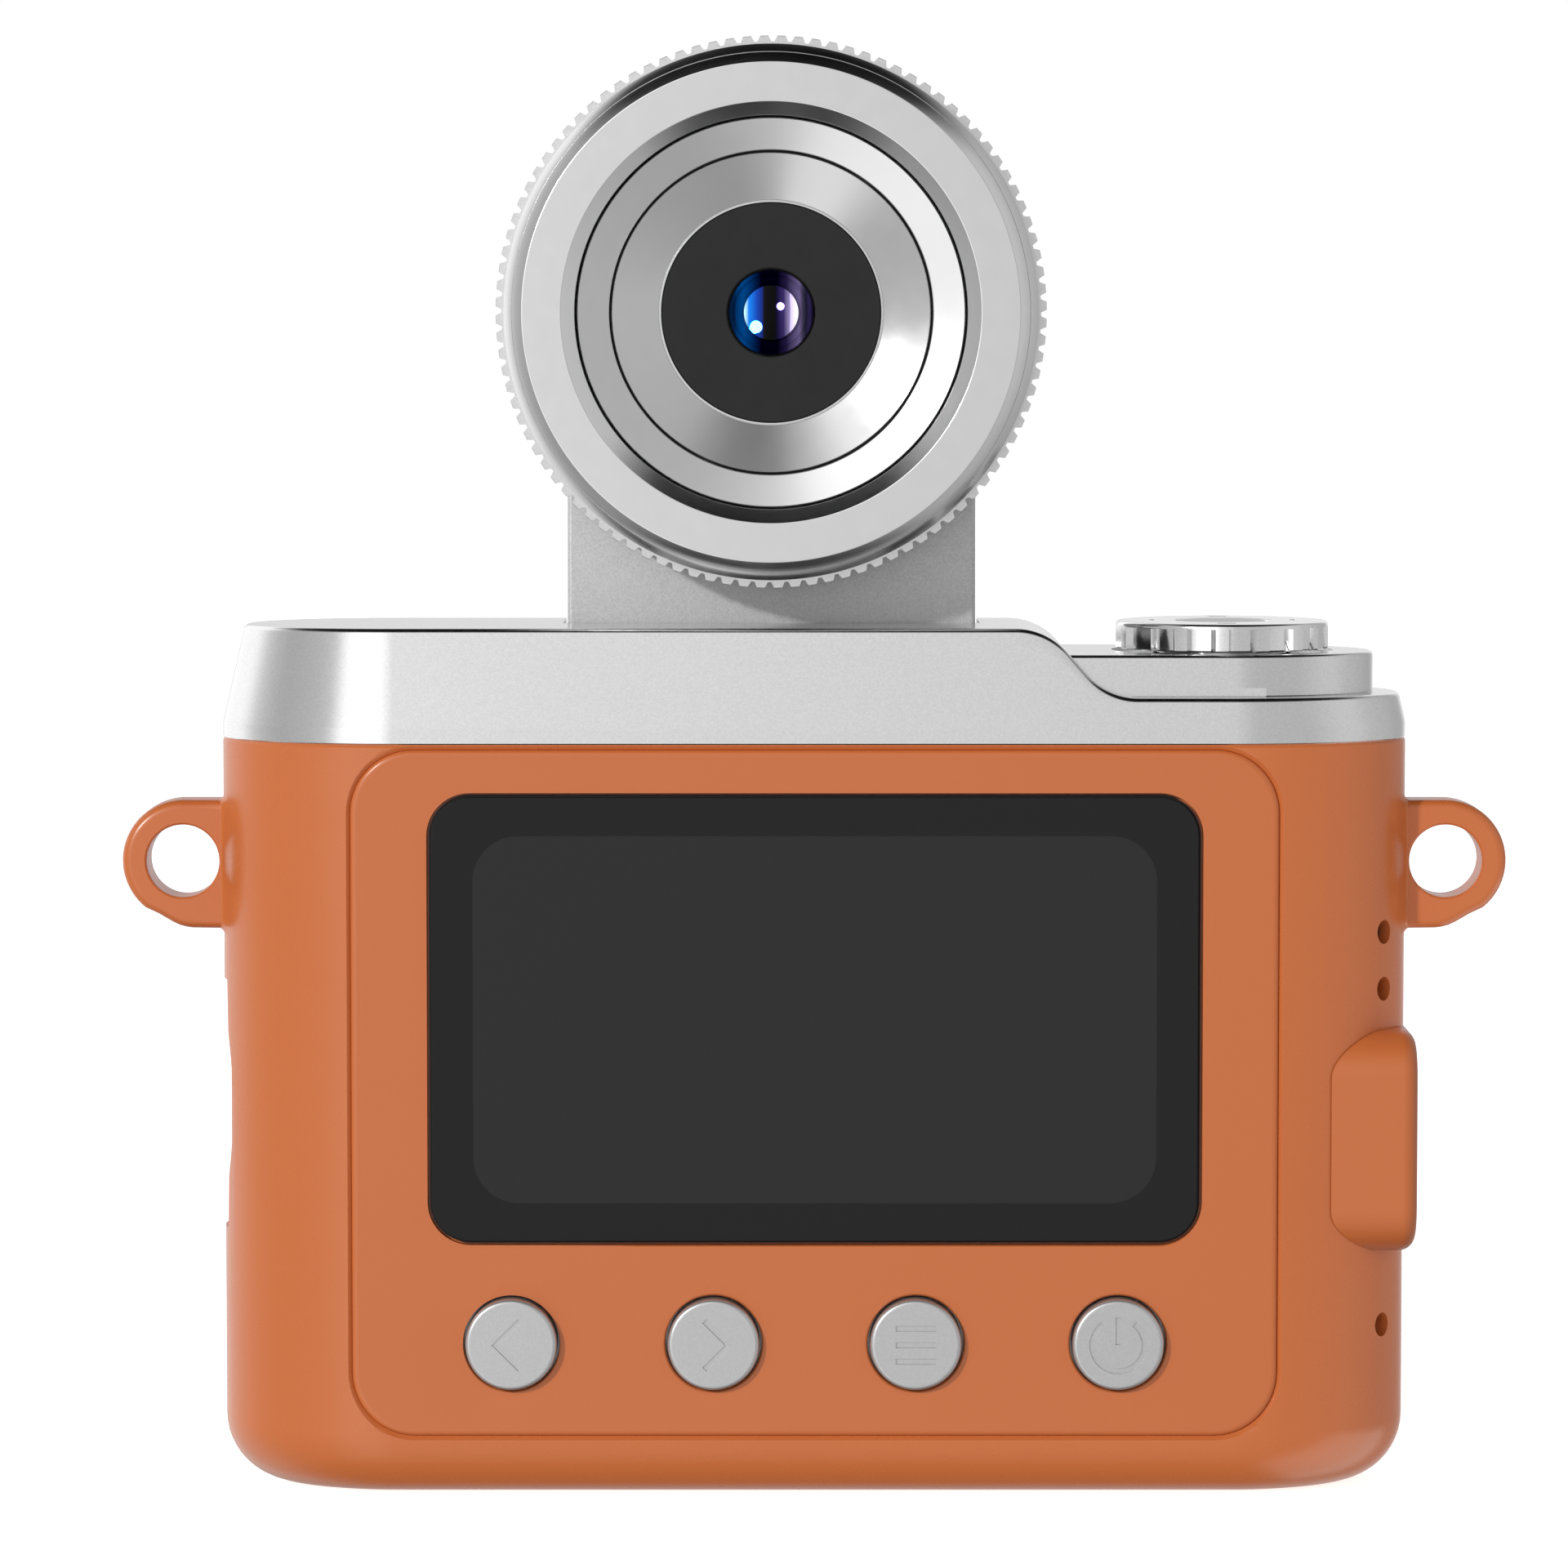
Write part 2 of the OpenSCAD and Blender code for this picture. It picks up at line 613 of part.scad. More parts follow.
module outer_trim_ring() color(SILVER) turned([[outer_ring_in, carrier_h], [outer_ring_r, carrier_h],
  [outer_ring_r, barrel_h - 1.4], [outer_ring_in, barrel_h - 2.15]]);
module inner_trim_ring() color(SILVER) turned([[inner_ring_in, carrier_h], [inner_ring_r, carrier_h],
  [inner_ring_r, barrel_h - 2.45], [inner_ring_in, barrel_h - 4.25]]);
module trim_carrier() color(DARK) turned([[3.6, 6], [15.2, 6], [15.2, carrier_h], [3.6, carrier_h]]);
module lens_mask() color("#303030") turned([[3.45, carrier_h], [mask_r, carrier_h],
  [mask_r, mask_h], [3.45, mask_h]]);

// Outline of the grip ring: trapezoid teeth with narrow gaps
module grip_outline() polygon([for (i = [0:grip_teeth - 1], s = [[0, 0], [0.14, 1], [0.66, 1], [0.8, 0]])
  let (a = 360 * (i + s[0]) / grip_teeth, r = grip_r - 0.45 * (1 - s[1])) r * [cos(a), sin(a)]]);
module focus_ring() color(SILVER) on_lens(flange_h + flange_t + 0.1) difference() {
  linear_extrude(track_h - flange_h - flange_t - 0.2) grip_outline();
  translate([0, 0, -1]) cylinder(r = track_r + slide_gap, h = 10);
}

module lens_cell() color(DARK) turned([[3, -1.5], [cell_r, -1.5], [cell_r, 5.6], [3.3, 5.6], [3.3, 3.5],
  [2.6, 3.5], [2.6, 0.5], [3, 0.5]]);
module front_lens() color("#10142a") turned(concat([[0, 3.5], [3.3, 3.5], [3.3, 7.1]],
  arc(0, -0.1, 7.92, 65.4, 90)));
module rear_lens() color("#10142a") turned([[0, -1.2], [3, -1.2], [3, 0.5], [0, 0.5]]);

body_shell();
rear_cover();
top_cover();
dial_deck();
screen_glass();
display_panel();
display_gasket();
key_board();
main_board();
board_screws();
battery();
battery_pad();
speaker();
microphone();
status_light();
reset_switch();
port_board();
usb_port();
card_socket();
tripod_insert();
dial_encoder();
shutter_switch();
hinge_bushes();
friction_washers();
hinge_pins();
hinge_clips();
arm_shell();
arm_cover();
arm_screws();
lens_barrel();
front_bezel();
outer_trim_ring();
inner_trim_ring();
trim_carrier();
lens_mask();
sensor_board();
image_sensor();
lens_flex();
focus_ring();
lens_cell();
front_lens();
rear_lens();
mode_dial();
shutter_button();
previous_button();
next_button();
menu_button();
power_button();
memory_card();
port_cover();
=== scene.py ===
"""Looks of the flip-lens camera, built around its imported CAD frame.

Lengths in the shape code are millimetres; mesh_piece() turns them into metres.
"""
import json
import math

import bmesh
import bpy
from mathutils import Matrix, Vector


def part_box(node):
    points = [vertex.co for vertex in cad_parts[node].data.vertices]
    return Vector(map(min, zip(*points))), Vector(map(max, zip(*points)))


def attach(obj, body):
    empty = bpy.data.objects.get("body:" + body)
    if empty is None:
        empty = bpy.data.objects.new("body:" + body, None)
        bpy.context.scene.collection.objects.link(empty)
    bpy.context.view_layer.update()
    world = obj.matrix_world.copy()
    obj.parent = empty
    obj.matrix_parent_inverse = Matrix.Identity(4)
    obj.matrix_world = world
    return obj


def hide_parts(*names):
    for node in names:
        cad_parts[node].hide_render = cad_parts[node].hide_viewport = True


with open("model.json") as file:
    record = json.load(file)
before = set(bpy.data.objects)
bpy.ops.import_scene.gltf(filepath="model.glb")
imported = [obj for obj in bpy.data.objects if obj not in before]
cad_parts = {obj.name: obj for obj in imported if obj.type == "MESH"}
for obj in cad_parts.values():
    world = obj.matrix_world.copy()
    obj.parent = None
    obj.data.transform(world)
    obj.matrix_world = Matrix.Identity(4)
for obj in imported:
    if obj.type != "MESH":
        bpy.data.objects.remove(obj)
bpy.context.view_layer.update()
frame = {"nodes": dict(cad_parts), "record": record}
scene = bpy.context.scene

MM = 0.001
TAU = 2 * math.pi


def size_of(node):
    """Lowest and highest corner of a CAD node, in millimetres."""
    low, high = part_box(node)
    return Vector(low) / MM, Vector(high) / MM


# ---- sizes from the frame

top_lo, top_hi = size_of("top_cover")
HALF_W, HALF_D = top_hi.x, top_hi.y
SEAM_Z, TOP_Z = top_lo.z, top_hi.z
END_LEN = 14.1
FLAT_X = HALF_W - END_LEN
BOTTOM_R = 5.3
WALL = 2.0
EDGE_R = 0.38
LIP_Z = SEAM_Z + 1.3
TAPER = 1.8
ROOF_T = 1.6
DECK_INSET = 2.6
SHOULDER_Z, DECK_Z = (corner.z for corner in size_of("dial_deck"))

arm_lo, arm_hi = size_of("arm_shell")
cover_lo, cover_hi = size_of("arm_cover")
ARM_W, ARM_T = arm_hi.x - arm_lo.x, cover_hi.y
ARM_TOP = arm_hi.z
ARM_EDGE = 0.35
HINGE_Z = arm_lo.z + ARM_T / 2
SLOT_GAP = 0.35
SLOT_X0, SLOT_X1 = arm_lo.x - SLOT_GAP, arm_hi.x + SLOT_GAP
SLOT_Z = 2 * HINGE_Z - ARM_TOP - 0.5
CHEEK = 1.2
PAST_BODY = 30

grip_lo, grip_hi = size_of("focus_ring")
LENS_X = (grip_lo.x + grip_hi.x) / 2
LENS_Z = (grip_lo.z + grip_hi.z) / 2
LENS_MIDDLE = (LENS_X * MM, 0, LENS_Z * MM)
GRIP_R = (grip_hi.x - grip_lo.x) / 2
GRIP_TEETH = 100
BEZEL_PROUD = 0.03
BARREL_H = -size_of("front_bezel")[0].y - BEZEL_PROUD

dial_lo, dial_hi = size_of("mode_dial")
DIAL_X = (dial_lo.x + dial_hi.x) / 2
DIAL_R = (dial_hi.x - dial_lo.x) / 2
DIAL_TOP = dial_hi.z
DIAL_BASE = DECK_Z + 0.15
DIAL_FOOT = SEAM_Z + 1.75
NOTCHES = 16
SHUTTER_R = size_of("shutter_button")[1].x - DIAL_X

panel_lo, panel_hi = size_of("rear_cover")
glass_lo, glass_hi = size_of("screen_glass")
SCREEN_Z = (glass_lo.z + glass_hi.z) / 2
BUTTONS = ("previous", "next", "menu", "power")

TRIPOD_X = -20
SPEAKER_X, SPEAKER_Z = 29, 45
SIDE_HOLES_Y, SIDE_HOLES_Z = -6, (44.3, 39.8, 13.1)
CARD_Z = 30.3
PORT_BEAD = (41.1, 9.4)


# ---- mesh helpers

def mesh_piece(name, verts, faces, sharp=32):
    """A smooth-shaded object from millimetre vertices, with edges sharper than `sharp` degrees kept."""
    mesh = bpy.data.meshes.new(name)
    mesh.from_pydata([Vector(v) * MM for v in verts], [], faces)
    bm = bmesh.new()
    bm.from_mesh(mesh)
    bmesh.ops.remove_doubles(bm, verts=bm.verts, dist=1e-7)
    bmesh.ops.recalc_face_normals(bm, faces=bm.faces)
    bm.to_mesh(mesh)
    bm.free()
    piece = bpy.data.objects.new(name, mesh)
    scene.collection.objects.link(piece)
    shade(piece, sharp)
    return piece


def shade(piece, sharp):
    piece.data.polygons.foreach_set("use_smooth", [True] * len(piece.data.polygons))
    piece.data.set_sharp_from_angle(angle=math.radians(sharp))


def even_normals(piece):
    """Lets large faces keep their own normal, so flats stay flat beside their rounded edges."""
    weighted = piece.modifiers.new("normals", "WEIGHTED_NORMAL")
    weighted.keep_sharp = True
    weighted.weight = 80
    return piece


def bake_modifiers(piece):
    """Replaces the object's mesh with its evaluated one."""
    graph = bpy.context.evaluated_depsgraph_get()
    mesh = bpy.data.meshes.new_from_object(piece.evaluated_get(graph))
    piece.modifiers.clear()
    piece.data = mesh


def combine(piece, others, operation):
    """Booleans between closed meshes, applied one by one; the other meshes are used up."""
    for other in others:
        piece.modifiers.clear()
        other.modifiers.clear()
        modifier = piece.modifiers.new("combine", "BOOLEAN")
        modifier.operation = operation
        modifier.solver = "EXACT"
        modifier.object = other
        bake_modifiers(piece)
        bpy.data.objects.remove(other)


def cut(piece, *cutters):
    combine(piece, cutters, "DIFFERENCE")


def join(piece, *others):
    combine(piece, others, "UNION")


def side_faces(n, count, tube=False):
    """Faces between `count` rings of n points each; a tube's last ring is joined to its first."""
    faces = []
    for k in range(count if tube else count - 1):
        a, b = k * n, ((k + 1) % count) * n
        faces += [(a + i, a + (i + 1) % n, b + (i + 1) % n, b + i) for i in range(n)]
    return faces


def loft(name, rings, sharp=32, tube=False):
    """A skin over equal-length closed rings of points, with flat ends unless it is a tube."""
    n, count = len(rings[0]), len(rings)
    faces = side_faces(n, count, tube)
    if not tube:
        faces.append(tuple(range(n - 1, -1, -1)))
        faces.append(tuple(range((count - 1) * n, count * n)))
    return mesh_piece(name, [p for ring in rings for p in ring], faces, sharp)


def stack(name, layers):
    """A skin over (outline, depth) layers, each outline a list of (x, z) pairs."""
    return loft(name, [[(x, y, z) for x, z in outline] for outline, y in layers])


def arc(cx, cy, r, a0, a1, n):
    """Points along an arc, angles in degrees."""
    angles = [math.radians(a0 + (a1 - a0) * i / n) for i in range(n + 1)]
    return [(cx + r * math.cos(a), cy + r * math.sin(a)) for a in angles]


def circle(cx, cy, r, steps):
    """Points round a full circle."""
    angles = [TAU * i / steps for i in range(steps)]
    return [(cx + r * math.cos(a), cy + r * math.sin(a)) for a in angles]


def quarter(steps, first=0):
    """Angles up to a right angle, in radians."""
    return [math.pi / 2 * i / steps for i in range(first, steps + 1)]


def quarter_down(steps):
    """Angles from a right angle down to zero, in radians."""
    return [math.pi / 2 * (1 - i / steps) for i in range(steps + 1)]


def turned(name, profile, place, steps=192, sharp=32):
    """Turns a closed profile of (radius, height) round an axis; place(x, y, h) puts a point in the frame."""
    rings = [[place(x, y, h) for x, y in circle(0, 0, r, steps)] for r, h in profile]
    return even_normals(loft(name, rings, sharp, tube=True))


def on_lens(x, y, h):
    """Lens axis: h is how far in front of the arm's face a point is."""
    return (LENS_X + x, -h, LENS_Z + y)


def rounded_outline(w, h, r, steps=12, cx=0.0, cz=0.0):
    """Closed outline of a rectangle with round corners, as (x, z) pairs."""
    points = []
    for sx, sz, start in ((1, 1, 0), (-1, 1, 90), (-1, -1, 180), (1, -1, 270)):
        points += arc(cx + sx * (w / 2 - r), cz + sz * (h / 2 - r), r, start, start + 90, steps)
    return points


def box_piece(lo, hi, upright_r=0.0):
    """A plain cutter box, with its upright edges rounded if asked."""
    w, d = hi[0] - lo[0], hi[1] - lo[1]
    cx, cy = (lo[0] + hi[0]) / 2, (lo[1] + hi[1]) / 2
    outline = rounded_outline(w, d, max(upright_r, 0.001), 4 if upright_r else 1, cx, cy)
    return loft("cutter", [[(x, y, z) for x, y in outline] for z in (lo[2], hi[2])])


def rod(p0, p1, r, steps=48):
    """A closed round rod between two points."""
    a, b = Vector(p0), Vector(p1)
    turn = (b - a).to_track_quat("Z", "Y")
    return loft("cutter", [[end + turn @ Vector((x, y, 0)) for x, y in circle(0, 0, r, steps)]
                           for end in (a, b)])


# ---- the body's plan and heights

END_STEPS = 28


def stations(extra=()):
    """Places round the near side of the plan, left to right, as (side, angle) or ("flat", x)."""
    left = [("left", angle) for angle in quarter(END_STEPS)]
    right = [("right", angle) for angle in quarter_down(END_STEPS)]
    return left + [("flat", x) for x in sorted(extra)] + right


def station_point(station, inset):
    """Near-side point (x, y) of a station on the plan outline shrunk by inset."""
    kind, value = station
    if kind == "flat":
        return value, -HALF_D + inset
    c, s = math.cos(value), math.sin(value)
    nx, ny = c / END_LEN, s / HALF_D
    n = math.hypot(nx, ny)
    x = FLAT_X + END_LEN * c - inset * nx / n
    y = HALF_D * s - inset * ny / n
    return (-x if kind == "left" else x), -y


def plan_ring(places, inset, height):
    """Closed ring round the plan; inset and height may be functions."""
    near = []
    for place in places:
        x, y = station_point(place, inset(place) if callable(inset) else inset)
        near.append((x, y, height(x) if callable(height) else height))
    return near + [(x, -y, z) for x, y, z in reversed(near[1:-1])]


def plan_solid(name, places, levels, sharp=32):
    """Lofts plan rings; its ends are ruled straight across, so a curved top stays exact."""
    rings = [plan_ring(places, inset, height) for inset, height in levels]
    n, m = len(rings[0]), len(places)
    faces = side_faces(n, len(rings))
    for base, flip in ((0, True), ((len(rings) - 1) * n, False)):
        for i in range(m - 1):
            face = [base + i, base + i + 1, base + n - i - 1, base + (n - i) % n]
            face = list(dict.fromkeys(face))
            faces.append(tuple(reversed(face)) if flip else tuple(face))
    return mesh_piece(name, [p for ring in rings for p in ring], faces, sharp)


RAMP_X, RAMP_R, RAMP_SLOPE = 15.7, 5.3, math.radians(49)
RAMP_BEND = RAMP_R * math.sin(RAMP_SLOPE)
RAMP_SAG = RAMP_R * (1 - math.cos(RAMP_SLOPE))
RAMP_RUN = (TOP_Z - SHOULDER_Z - 2 * RAMP_SAG) / math.tan(RAMP_SLOPE)
RAMP_LEN = 2 * RAMP_BEND + RAMP_RUN
RAMP_STEPS = 48
ramp_xs = [RAMP_X + RAMP_LEN * i / RAMP_STEPS for i in range(RAMP_STEPS + 1)]


def ramp_height(x, drop=0.0):
    """Height of the top cover's upper side: flat, down the ramp with its two bends, then the shoulder."""
    d = x - RAMP_X
    if d <= 0:
        z = TOP_Z
    elif d < RAMP_BEND:
        z = TOP_Z - RAMP_R + math.sqrt(RAMP_R ** 2 - d ** 2)
    elif d < RAMP_BEND + RAMP_RUN:
        z = TOP_Z - RAMP_SAG - (d - RAMP_BEND) * math.tan(RAMP_SLOPE)
    elif d < RAMP_LEN:
        z = SHOULDER_Z + RAMP_R - math.sqrt(RAMP_R ** 2 - (RAMP_LEN - d) ** 2)
    else:
        z = SHOULDER_Z
    return z - drop


def surface_y(x):
    """Depth of the body's rear surface at x."""
    over = max(0.0, abs(x) - FLAT_X)
    return -HALF_D * math.sqrt(max(0.0, 1 - (over / END_LEN) ** 2))


def end_surface_x(y):
    """Reach of the body's rounded end at depth y."""
    return FLAT_X + END_LEN * math.sqrt(1 - (y / HALF_D) ** 2)


# ---- materials

class Graph:
    """Adds nodes to a shader tree; an input is either a value or another node's output."""

    def __init__(self, tree):
        self.tree = tree

    def add(self, kind, inputs=None, **settings):
        node = self.tree.nodes.new(kind)
        for key, value in settings.items():
            setattr(node, key, value)
        for key, value in (inputs or {}).items():
            if isinstance(value, bpy.types.NodeSocket):
                self.tree.links.new(value, node.inputs[key])
            else:
                node.inputs[key].default_value = value
        return node

    def math(self, operation, *values):
        return self.add("ShaderNodeMath", dict(enumerate(values)), operation=operation).outputs[0]

    def vector(self, operation, *values, output="Vector"):
        return self.add("ShaderNodeVectorMath", dict(enumerate(values)), operation=operation).outputs[output]

    def mix(self, factor, a, b, **settings):
        return self.add("ShaderNodeMix", {"Factor": factor, "A": a, "B": b}, data_type="RGBA",
                        **settings).outputs["Result"]

    def ramp(self, factor, stops):
        """Colour ramp from (place, colour) stops."""
        node = self.add("ShaderNodeValToRGB", {"Fac": factor})
        elements = node.color_ramp.elements
        while len(elements) < len(stops):
            elements.new(0.5)
        for element, (place, colour) in zip(elements, stops):
            element.position = place
            element.color = (*colour, 1)
        return node.outputs["Color"]


class Surface(Graph):
    """The node tree of a new material, with its surface shader."""

    def __init__(self, name):
        self.material = bpy.data.materials.new(name)
        self.material.use_nodes = True
        super().__init__(self.material.node_tree)
        self.shader = self.tree.nodes["Principled BSDF"]

    def set(self, **values):
        for key, value in values.items():
            self.shader.inputs[key.replace("_", " ")].default_value = value

    def link(self, output, name):
        self.tree.links.new(output, self.shader.inputs[name])

    def coords(self):
        return self.add("ShaderNodeTexCoord").outputs["Object"]

    def noise(self, scale, detail=3.0):
        return self.add("ShaderNodeTexNoise", {"Vector": self.coords(), "Scale": scale, "Detail": detail,
                                               "Roughness": 0.55}).outputs["Fac"]

    def spread(self, value, low, high, from_low=0.3, from_high=0.7):
        return self.add("ShaderNodeMapRange", {"Value": value, "From Min": from_low, "From Max": from_high,
                                               "To Min": low, "To Max": high}).outputs["Result"]

    def mottle(self, factor, colour, by):
        """Base colour that wanders a little round the given one."""
        dark, light = [c * (1 - by) for c in colour], [min(1, c * (1 + by)) for c in colour]
        self.link(self.mix(factor, (*dark, 1), (*light, 1)), "Base Color")

    def bump(self, height, distance):
        self.link(self.add("ShaderNodeBump", {"Height": height, "Distance": distance,
                                              "Strength": 1.0}).outputs["Normal"], "Normal")

    def from_lens(self):
        """Offset of each point from the lens's middle, and its distance from the lens axis."""
        offset = self.vector("SUBTRACT", self.coords(), LENS_MIDDLE)
        return offset, self.vector("LENGTH", self.vector("MULTIPLY", offset, (1, 0, 1)), output="Value")


def moulded(name, colour, rough):
    """Moulded plastic: fine spark-eroded grain, slight mottling, uneven gloss."""
    s = Surface(name)
    s.mottle(s.noise(120), colour, 0.01)
    s.link(s.spread(s.noise(500), rough - 0.015, rough + 0.015), "Roughness")
    s.bump(s.noise(3200, 2.0), 0.0006 * MM)
    s.set(IOR=1.5)
    return s.material


def metal_look(name, level, rough, metallic=1.0, grain=0.0005, flake=0.04):
    """Silver paint or plating: metal flakes that glint a little under a smooth film."""
    s = Surface(name)
    cells = s.add("ShaderNodeTexVoronoi", {"Vector": s.coords(), "Scale": 9000.0}).outputs["Color"]
    s.mottle(s.add("ShaderNodeSeparateColor", {"Color": cells}).outputs["Red"], [level] * 3, flake)
    s.link(s.spread(s.noise(1500, 2.0), rough - 0.01, rough + 0.02), "Roughness")
    s.bump(s.noise(4200, 1.0), grain * MM)
    s.set(Metallic=metallic, IOR=1.6)
    return s.material


def turned_metal(name, level, rough):
    """Turned metal: fine rings round the lens axis."""
    s = Surface(name)
    radius = s.from_lens()[1]
    rings = s.add("ShaderNodeTexNoise", {"W": radius, "Scale": 9000.0, "Detail": 2.0},
                  noise_dimensions="1D").outputs["Fac"]
    broad = s.noise(600)
    s.mottle(broad, [level] * 3, 0.03)
    s.link(s.spread(broad, rough - 0.01, rough + 0.01), "Roughness")
    s.bump(rings, 0.0006 * MM)
    s.set(Metallic=1.0)
    return s.material


def plain(name, colour, rough, metallic=0.0, bump=0.003):
    """Small hidden parts: one colour with slight mottling and a fine surface."""
    s = Surface(name)
    spots = s.noise(900)
    s.mottle(spots, colour, 0.08)
    s.link(s.spread(spots, rough - 0.05, rough + 0.05), "Roughness")
    s.bump(s.noise(2700), bump * MM)
    s.set(Metallic=metallic)
    return s.material


def board_material(name):
    """Green circuit board with fine tracks."""
    s = Surface(name)
    tracks = s.add("ShaderNodeTexBrick", {"Vector": s.coords(), "Scale": 260.0, "Mortar Size": 0.03,
                                          "Color1": (0.015, 0.10, 0.04, 1), "Color2": (0.02, 0.13, 0.05, 1),
                                          "Mortar": (0.05, 0.2, 0.08, 1)})
    s.link(tracks.outputs["Color"], "Base Color")
    s.link(s.spread(s.noise(900), 0.25, 0.4), "Roughness")
    s.bump(tracks.outputs["Fac"], 0.02 * MM)
    return s.material


def screen_material(name):
    """Dark cover glass: a black printed border round the slightly lighter display window."""
    s = Surface(name)
    place = s.add("ShaderNodeSeparateXYZ", {0: s.coords()})
    half_w, half_h, corner = 26.7, 14.4, 3.6
    window, border = (0.031, 0.031, 0.031, 1), (0.0205, 0.0205, 0.0205, 1)

    def beyond(socket, centre, half):
        size = s.math("ABSOLUTE", s.math("SUBTRACT", socket, centre * MM))
        return s.math("MAXIMUM", s.math("SUBTRACT", size, (half - corner) * MM), 0.0)

    both = s.add("ShaderNodeCombineXYZ", {0: beyond(place.outputs["X"], 0.0, half_w),
                                          1: beyond(place.outputs["Z"], SCREEN_Z, half_h)}).outputs[0]
    past_corner = s.vector("LENGTH", both, output="Value")
    on_border = s.spread(past_corner, 0.0, 1.0, (corner - 0.03) * MM, (corner + 0.03) * MM)
    s.link(s.mix(on_border, window, border), "Base Color")
    s.link(s.spread(s.noise(300), 0.5, 0.56), "Roughness")
    s.set(IOR=1.25, Specular_IOR_Level=0.12)
    return s.material


def lens_painted_reflections(name):
    """Coated glass over a dark tube, its colours painted reflections: a blue crescent and a violet-to-white
    crescent either side of a dark middle, and painted blue and violet bands on the rim.
    """
    s = Surface(name)
    offset, radius = s.from_lens()
    across = s.add("ShaderNodeSeparateXYZ", {0: offset}).outputs["X"]

    def painted_reflection_bands(half, stops):
        return s.ramp(s.spread(across, 0.0, 1.0, -half * MM, half * MM),
                      [(0.5 + x / (2 * half), colour) for x, colour in stops])

    # Painted reflections on the glass: pale blue into blue on the left, black through the middle, violet into
    # near white on the right.
    disc_painted_reflection = painted_reflection_bands(2.2, [(-2.12, (0.55, 0.9, 1)), (-1.75, (0, 0.17, 0.7)), (-1.1, (0, 0.04, 0.34)),
                       (-0.66, (0, 0.01, 0.12)), (-0.58, (0, 0, 0.001)), (0.3, (0, 0, 0.001)),
                       (0.5, (0.005, 0.002, 0.05)), (1.0, (0.07, 0.04, 0.24)), (1.5, (0.62, 0.52, 0.95)),
                       (2.1, (1, 0.97, 1))])
    # Rim: dark blue with painted reflections, brighter blue bands on the left and violet bands on the right.
    rim = painted_reflection_bands(3.4, [(-3.3, (0.001, 0.006, 0.022)), (-2.85, (0.001, 0.01, 0.04)), (-2.7, (0, 0.022, 0.09)),
                      (-2.2, (0, 0.036, 0.15)), (-1.2, (0, 0.006, 0.035)), (-0.8, (0, 0, 0.003)),
                      (0.5, (0, 0, 0.003)), (1.2, (0.01, 0.006, 0.03)), (2.2, (0.09, 0.07, 0.16)),
                      (2.45, (0.03, 0.025, 0.05)), (2.7, (0.008, 0.008, 0.02)), (2.95, (0.02, 0.012, 0.05)),
                      (3.3, (0.002, 0.002, 0.012))])
    outside = s.spread(radius, 0.0, 1.0, 2.14 * MM, 2.17 * MM)
    s.link(s.mix(outside, disc_painted_reflection, rim), "Base Color")
    polish = s.spread(s.noise(400, 2.0), 0.03, 0.05)
    s.link(s.math("MULTIPLY_ADD", outside, 0.3, polish), "Roughness")
    s.link(s.spread(outside, 0.08, 0.0, 0.0, 1.0), "Coat Weight")
    s.link(s.spread(outside, 1.0, 0.0, 0.0, 1.0), "Metallic")
    s.set(Specular_IOR_Level=0.0, Coat_Roughness=0.02, Coat_IOR=1.9)
    return s.material


ORANGE = (0.55, 0.144, 0.039)
# Each slot: its maker, then the colour or metal level, the roughness and what else the maker takes.
LOOKS = {
    "orange_plastic": (moulded, ORANGE, 0.27),
    "orange_panel": (moulded, ORANGE, 0.29),
    "orange_cover": (moulded, ORANGE, 0.36),
    "silver_top": (metal_look, 0.78, 0.17),
    "silver_deck": (metal_look, 0.76, 0.18),
    "silver_dial": (metal_look, 0.82, 0.12),
    "silver_button": (metal_look, 0.52, 0.34, 0.7),
    "silver_arm": (metal_look, 0.55, 0.42, 0.25, 0.001, 0.10),
    "silver_lens": (turned_metal, 0.73, 0.20),
    "silver_ring": (turned_metal, 0.72, 0.20),
    "silver_grip": (metal_look, 0.68, 0.28),
    "lens_black": (moulded, (0.007,) * 3, 0.8),
    "black_plastic": (moulded, (0.012,) * 3, 0.45),
    "lens_glass": (lens_painted_reflections,),
    "screen_glass": (screen_material,),
    "display": (plain, (0.03,) * 3, 0.3),
    "soft_black": (plain, (0.02,) * 3, 0.85, 0.0, 0.02),
    "circuit_board": (board_material,),
    "battery_wrap": (plain, (0.25, 0.28, 0.35), 0.3),
    "steel": (plain, (0.5, 0.5, 0.52), 0.3, 1.0),
    "light_pipe": (plain, (0.05, 0.04, 0.035), 0.35),
    "brass": (plain, (0.55, 0.40, 0.15), 0.28, 1.0),
    "sensor_black": (plain, (0.015, 0.015, 0.02), 0.2),
    "flex_film": (plain, (0.45, 0.2, 0.04), 0.3),
    "card_black": (plain, (0.02,) * 3, 0.4),
}
materials = {name: look(name, *values) for name, (look, *values) in LOOKS.items()}


def dress(piece, slot, body, node):
    """Gives a new piece the material of its slot, parents it to the body it rides on and hides the CAD node
    it stands for.
    """
    piece.data.materials.clear()
    piece.data.materials.append(materials[slot])
    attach(piece, body)
    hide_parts(node)
    return piece


def finish(piece, slot, body, node, sharp=30, bevel=0.0):
    """Welds a piece made with booleans, rounds its sharp edges if asked, evens its normals and dresses it."""
    bm = bmesh.new()
    bm.from_mesh(piece.data)
    bmesh.ops.remove_doubles(bm, verts=bm.verts, dist=2e-6)
    bmesh.ops.dissolve_degenerate(bm, edges=bm.edges, dist=1e-6)
    bm.to_mesh(piece.data)
    bm.free()
    if bevel:
        modifier = piece.modifiers.new("edge", "BEVEL")
        modifier.width = bevel * MM
        modifier.segments = 2
        modifier.limit_method = "ANGLE"
        modifier.angle_limit = math.radians(40)
        modifier.use_clamp_overlap = True
        bake_modifiers(piece)
    shade(piece, sharp)
    even_normals(piece)
    return dress(piece, slot, body, node)


# ---- casing

COVER_EDGE = 0.46
MOUTH_W = 0.34
GROOVE_DEPTH = 0.34


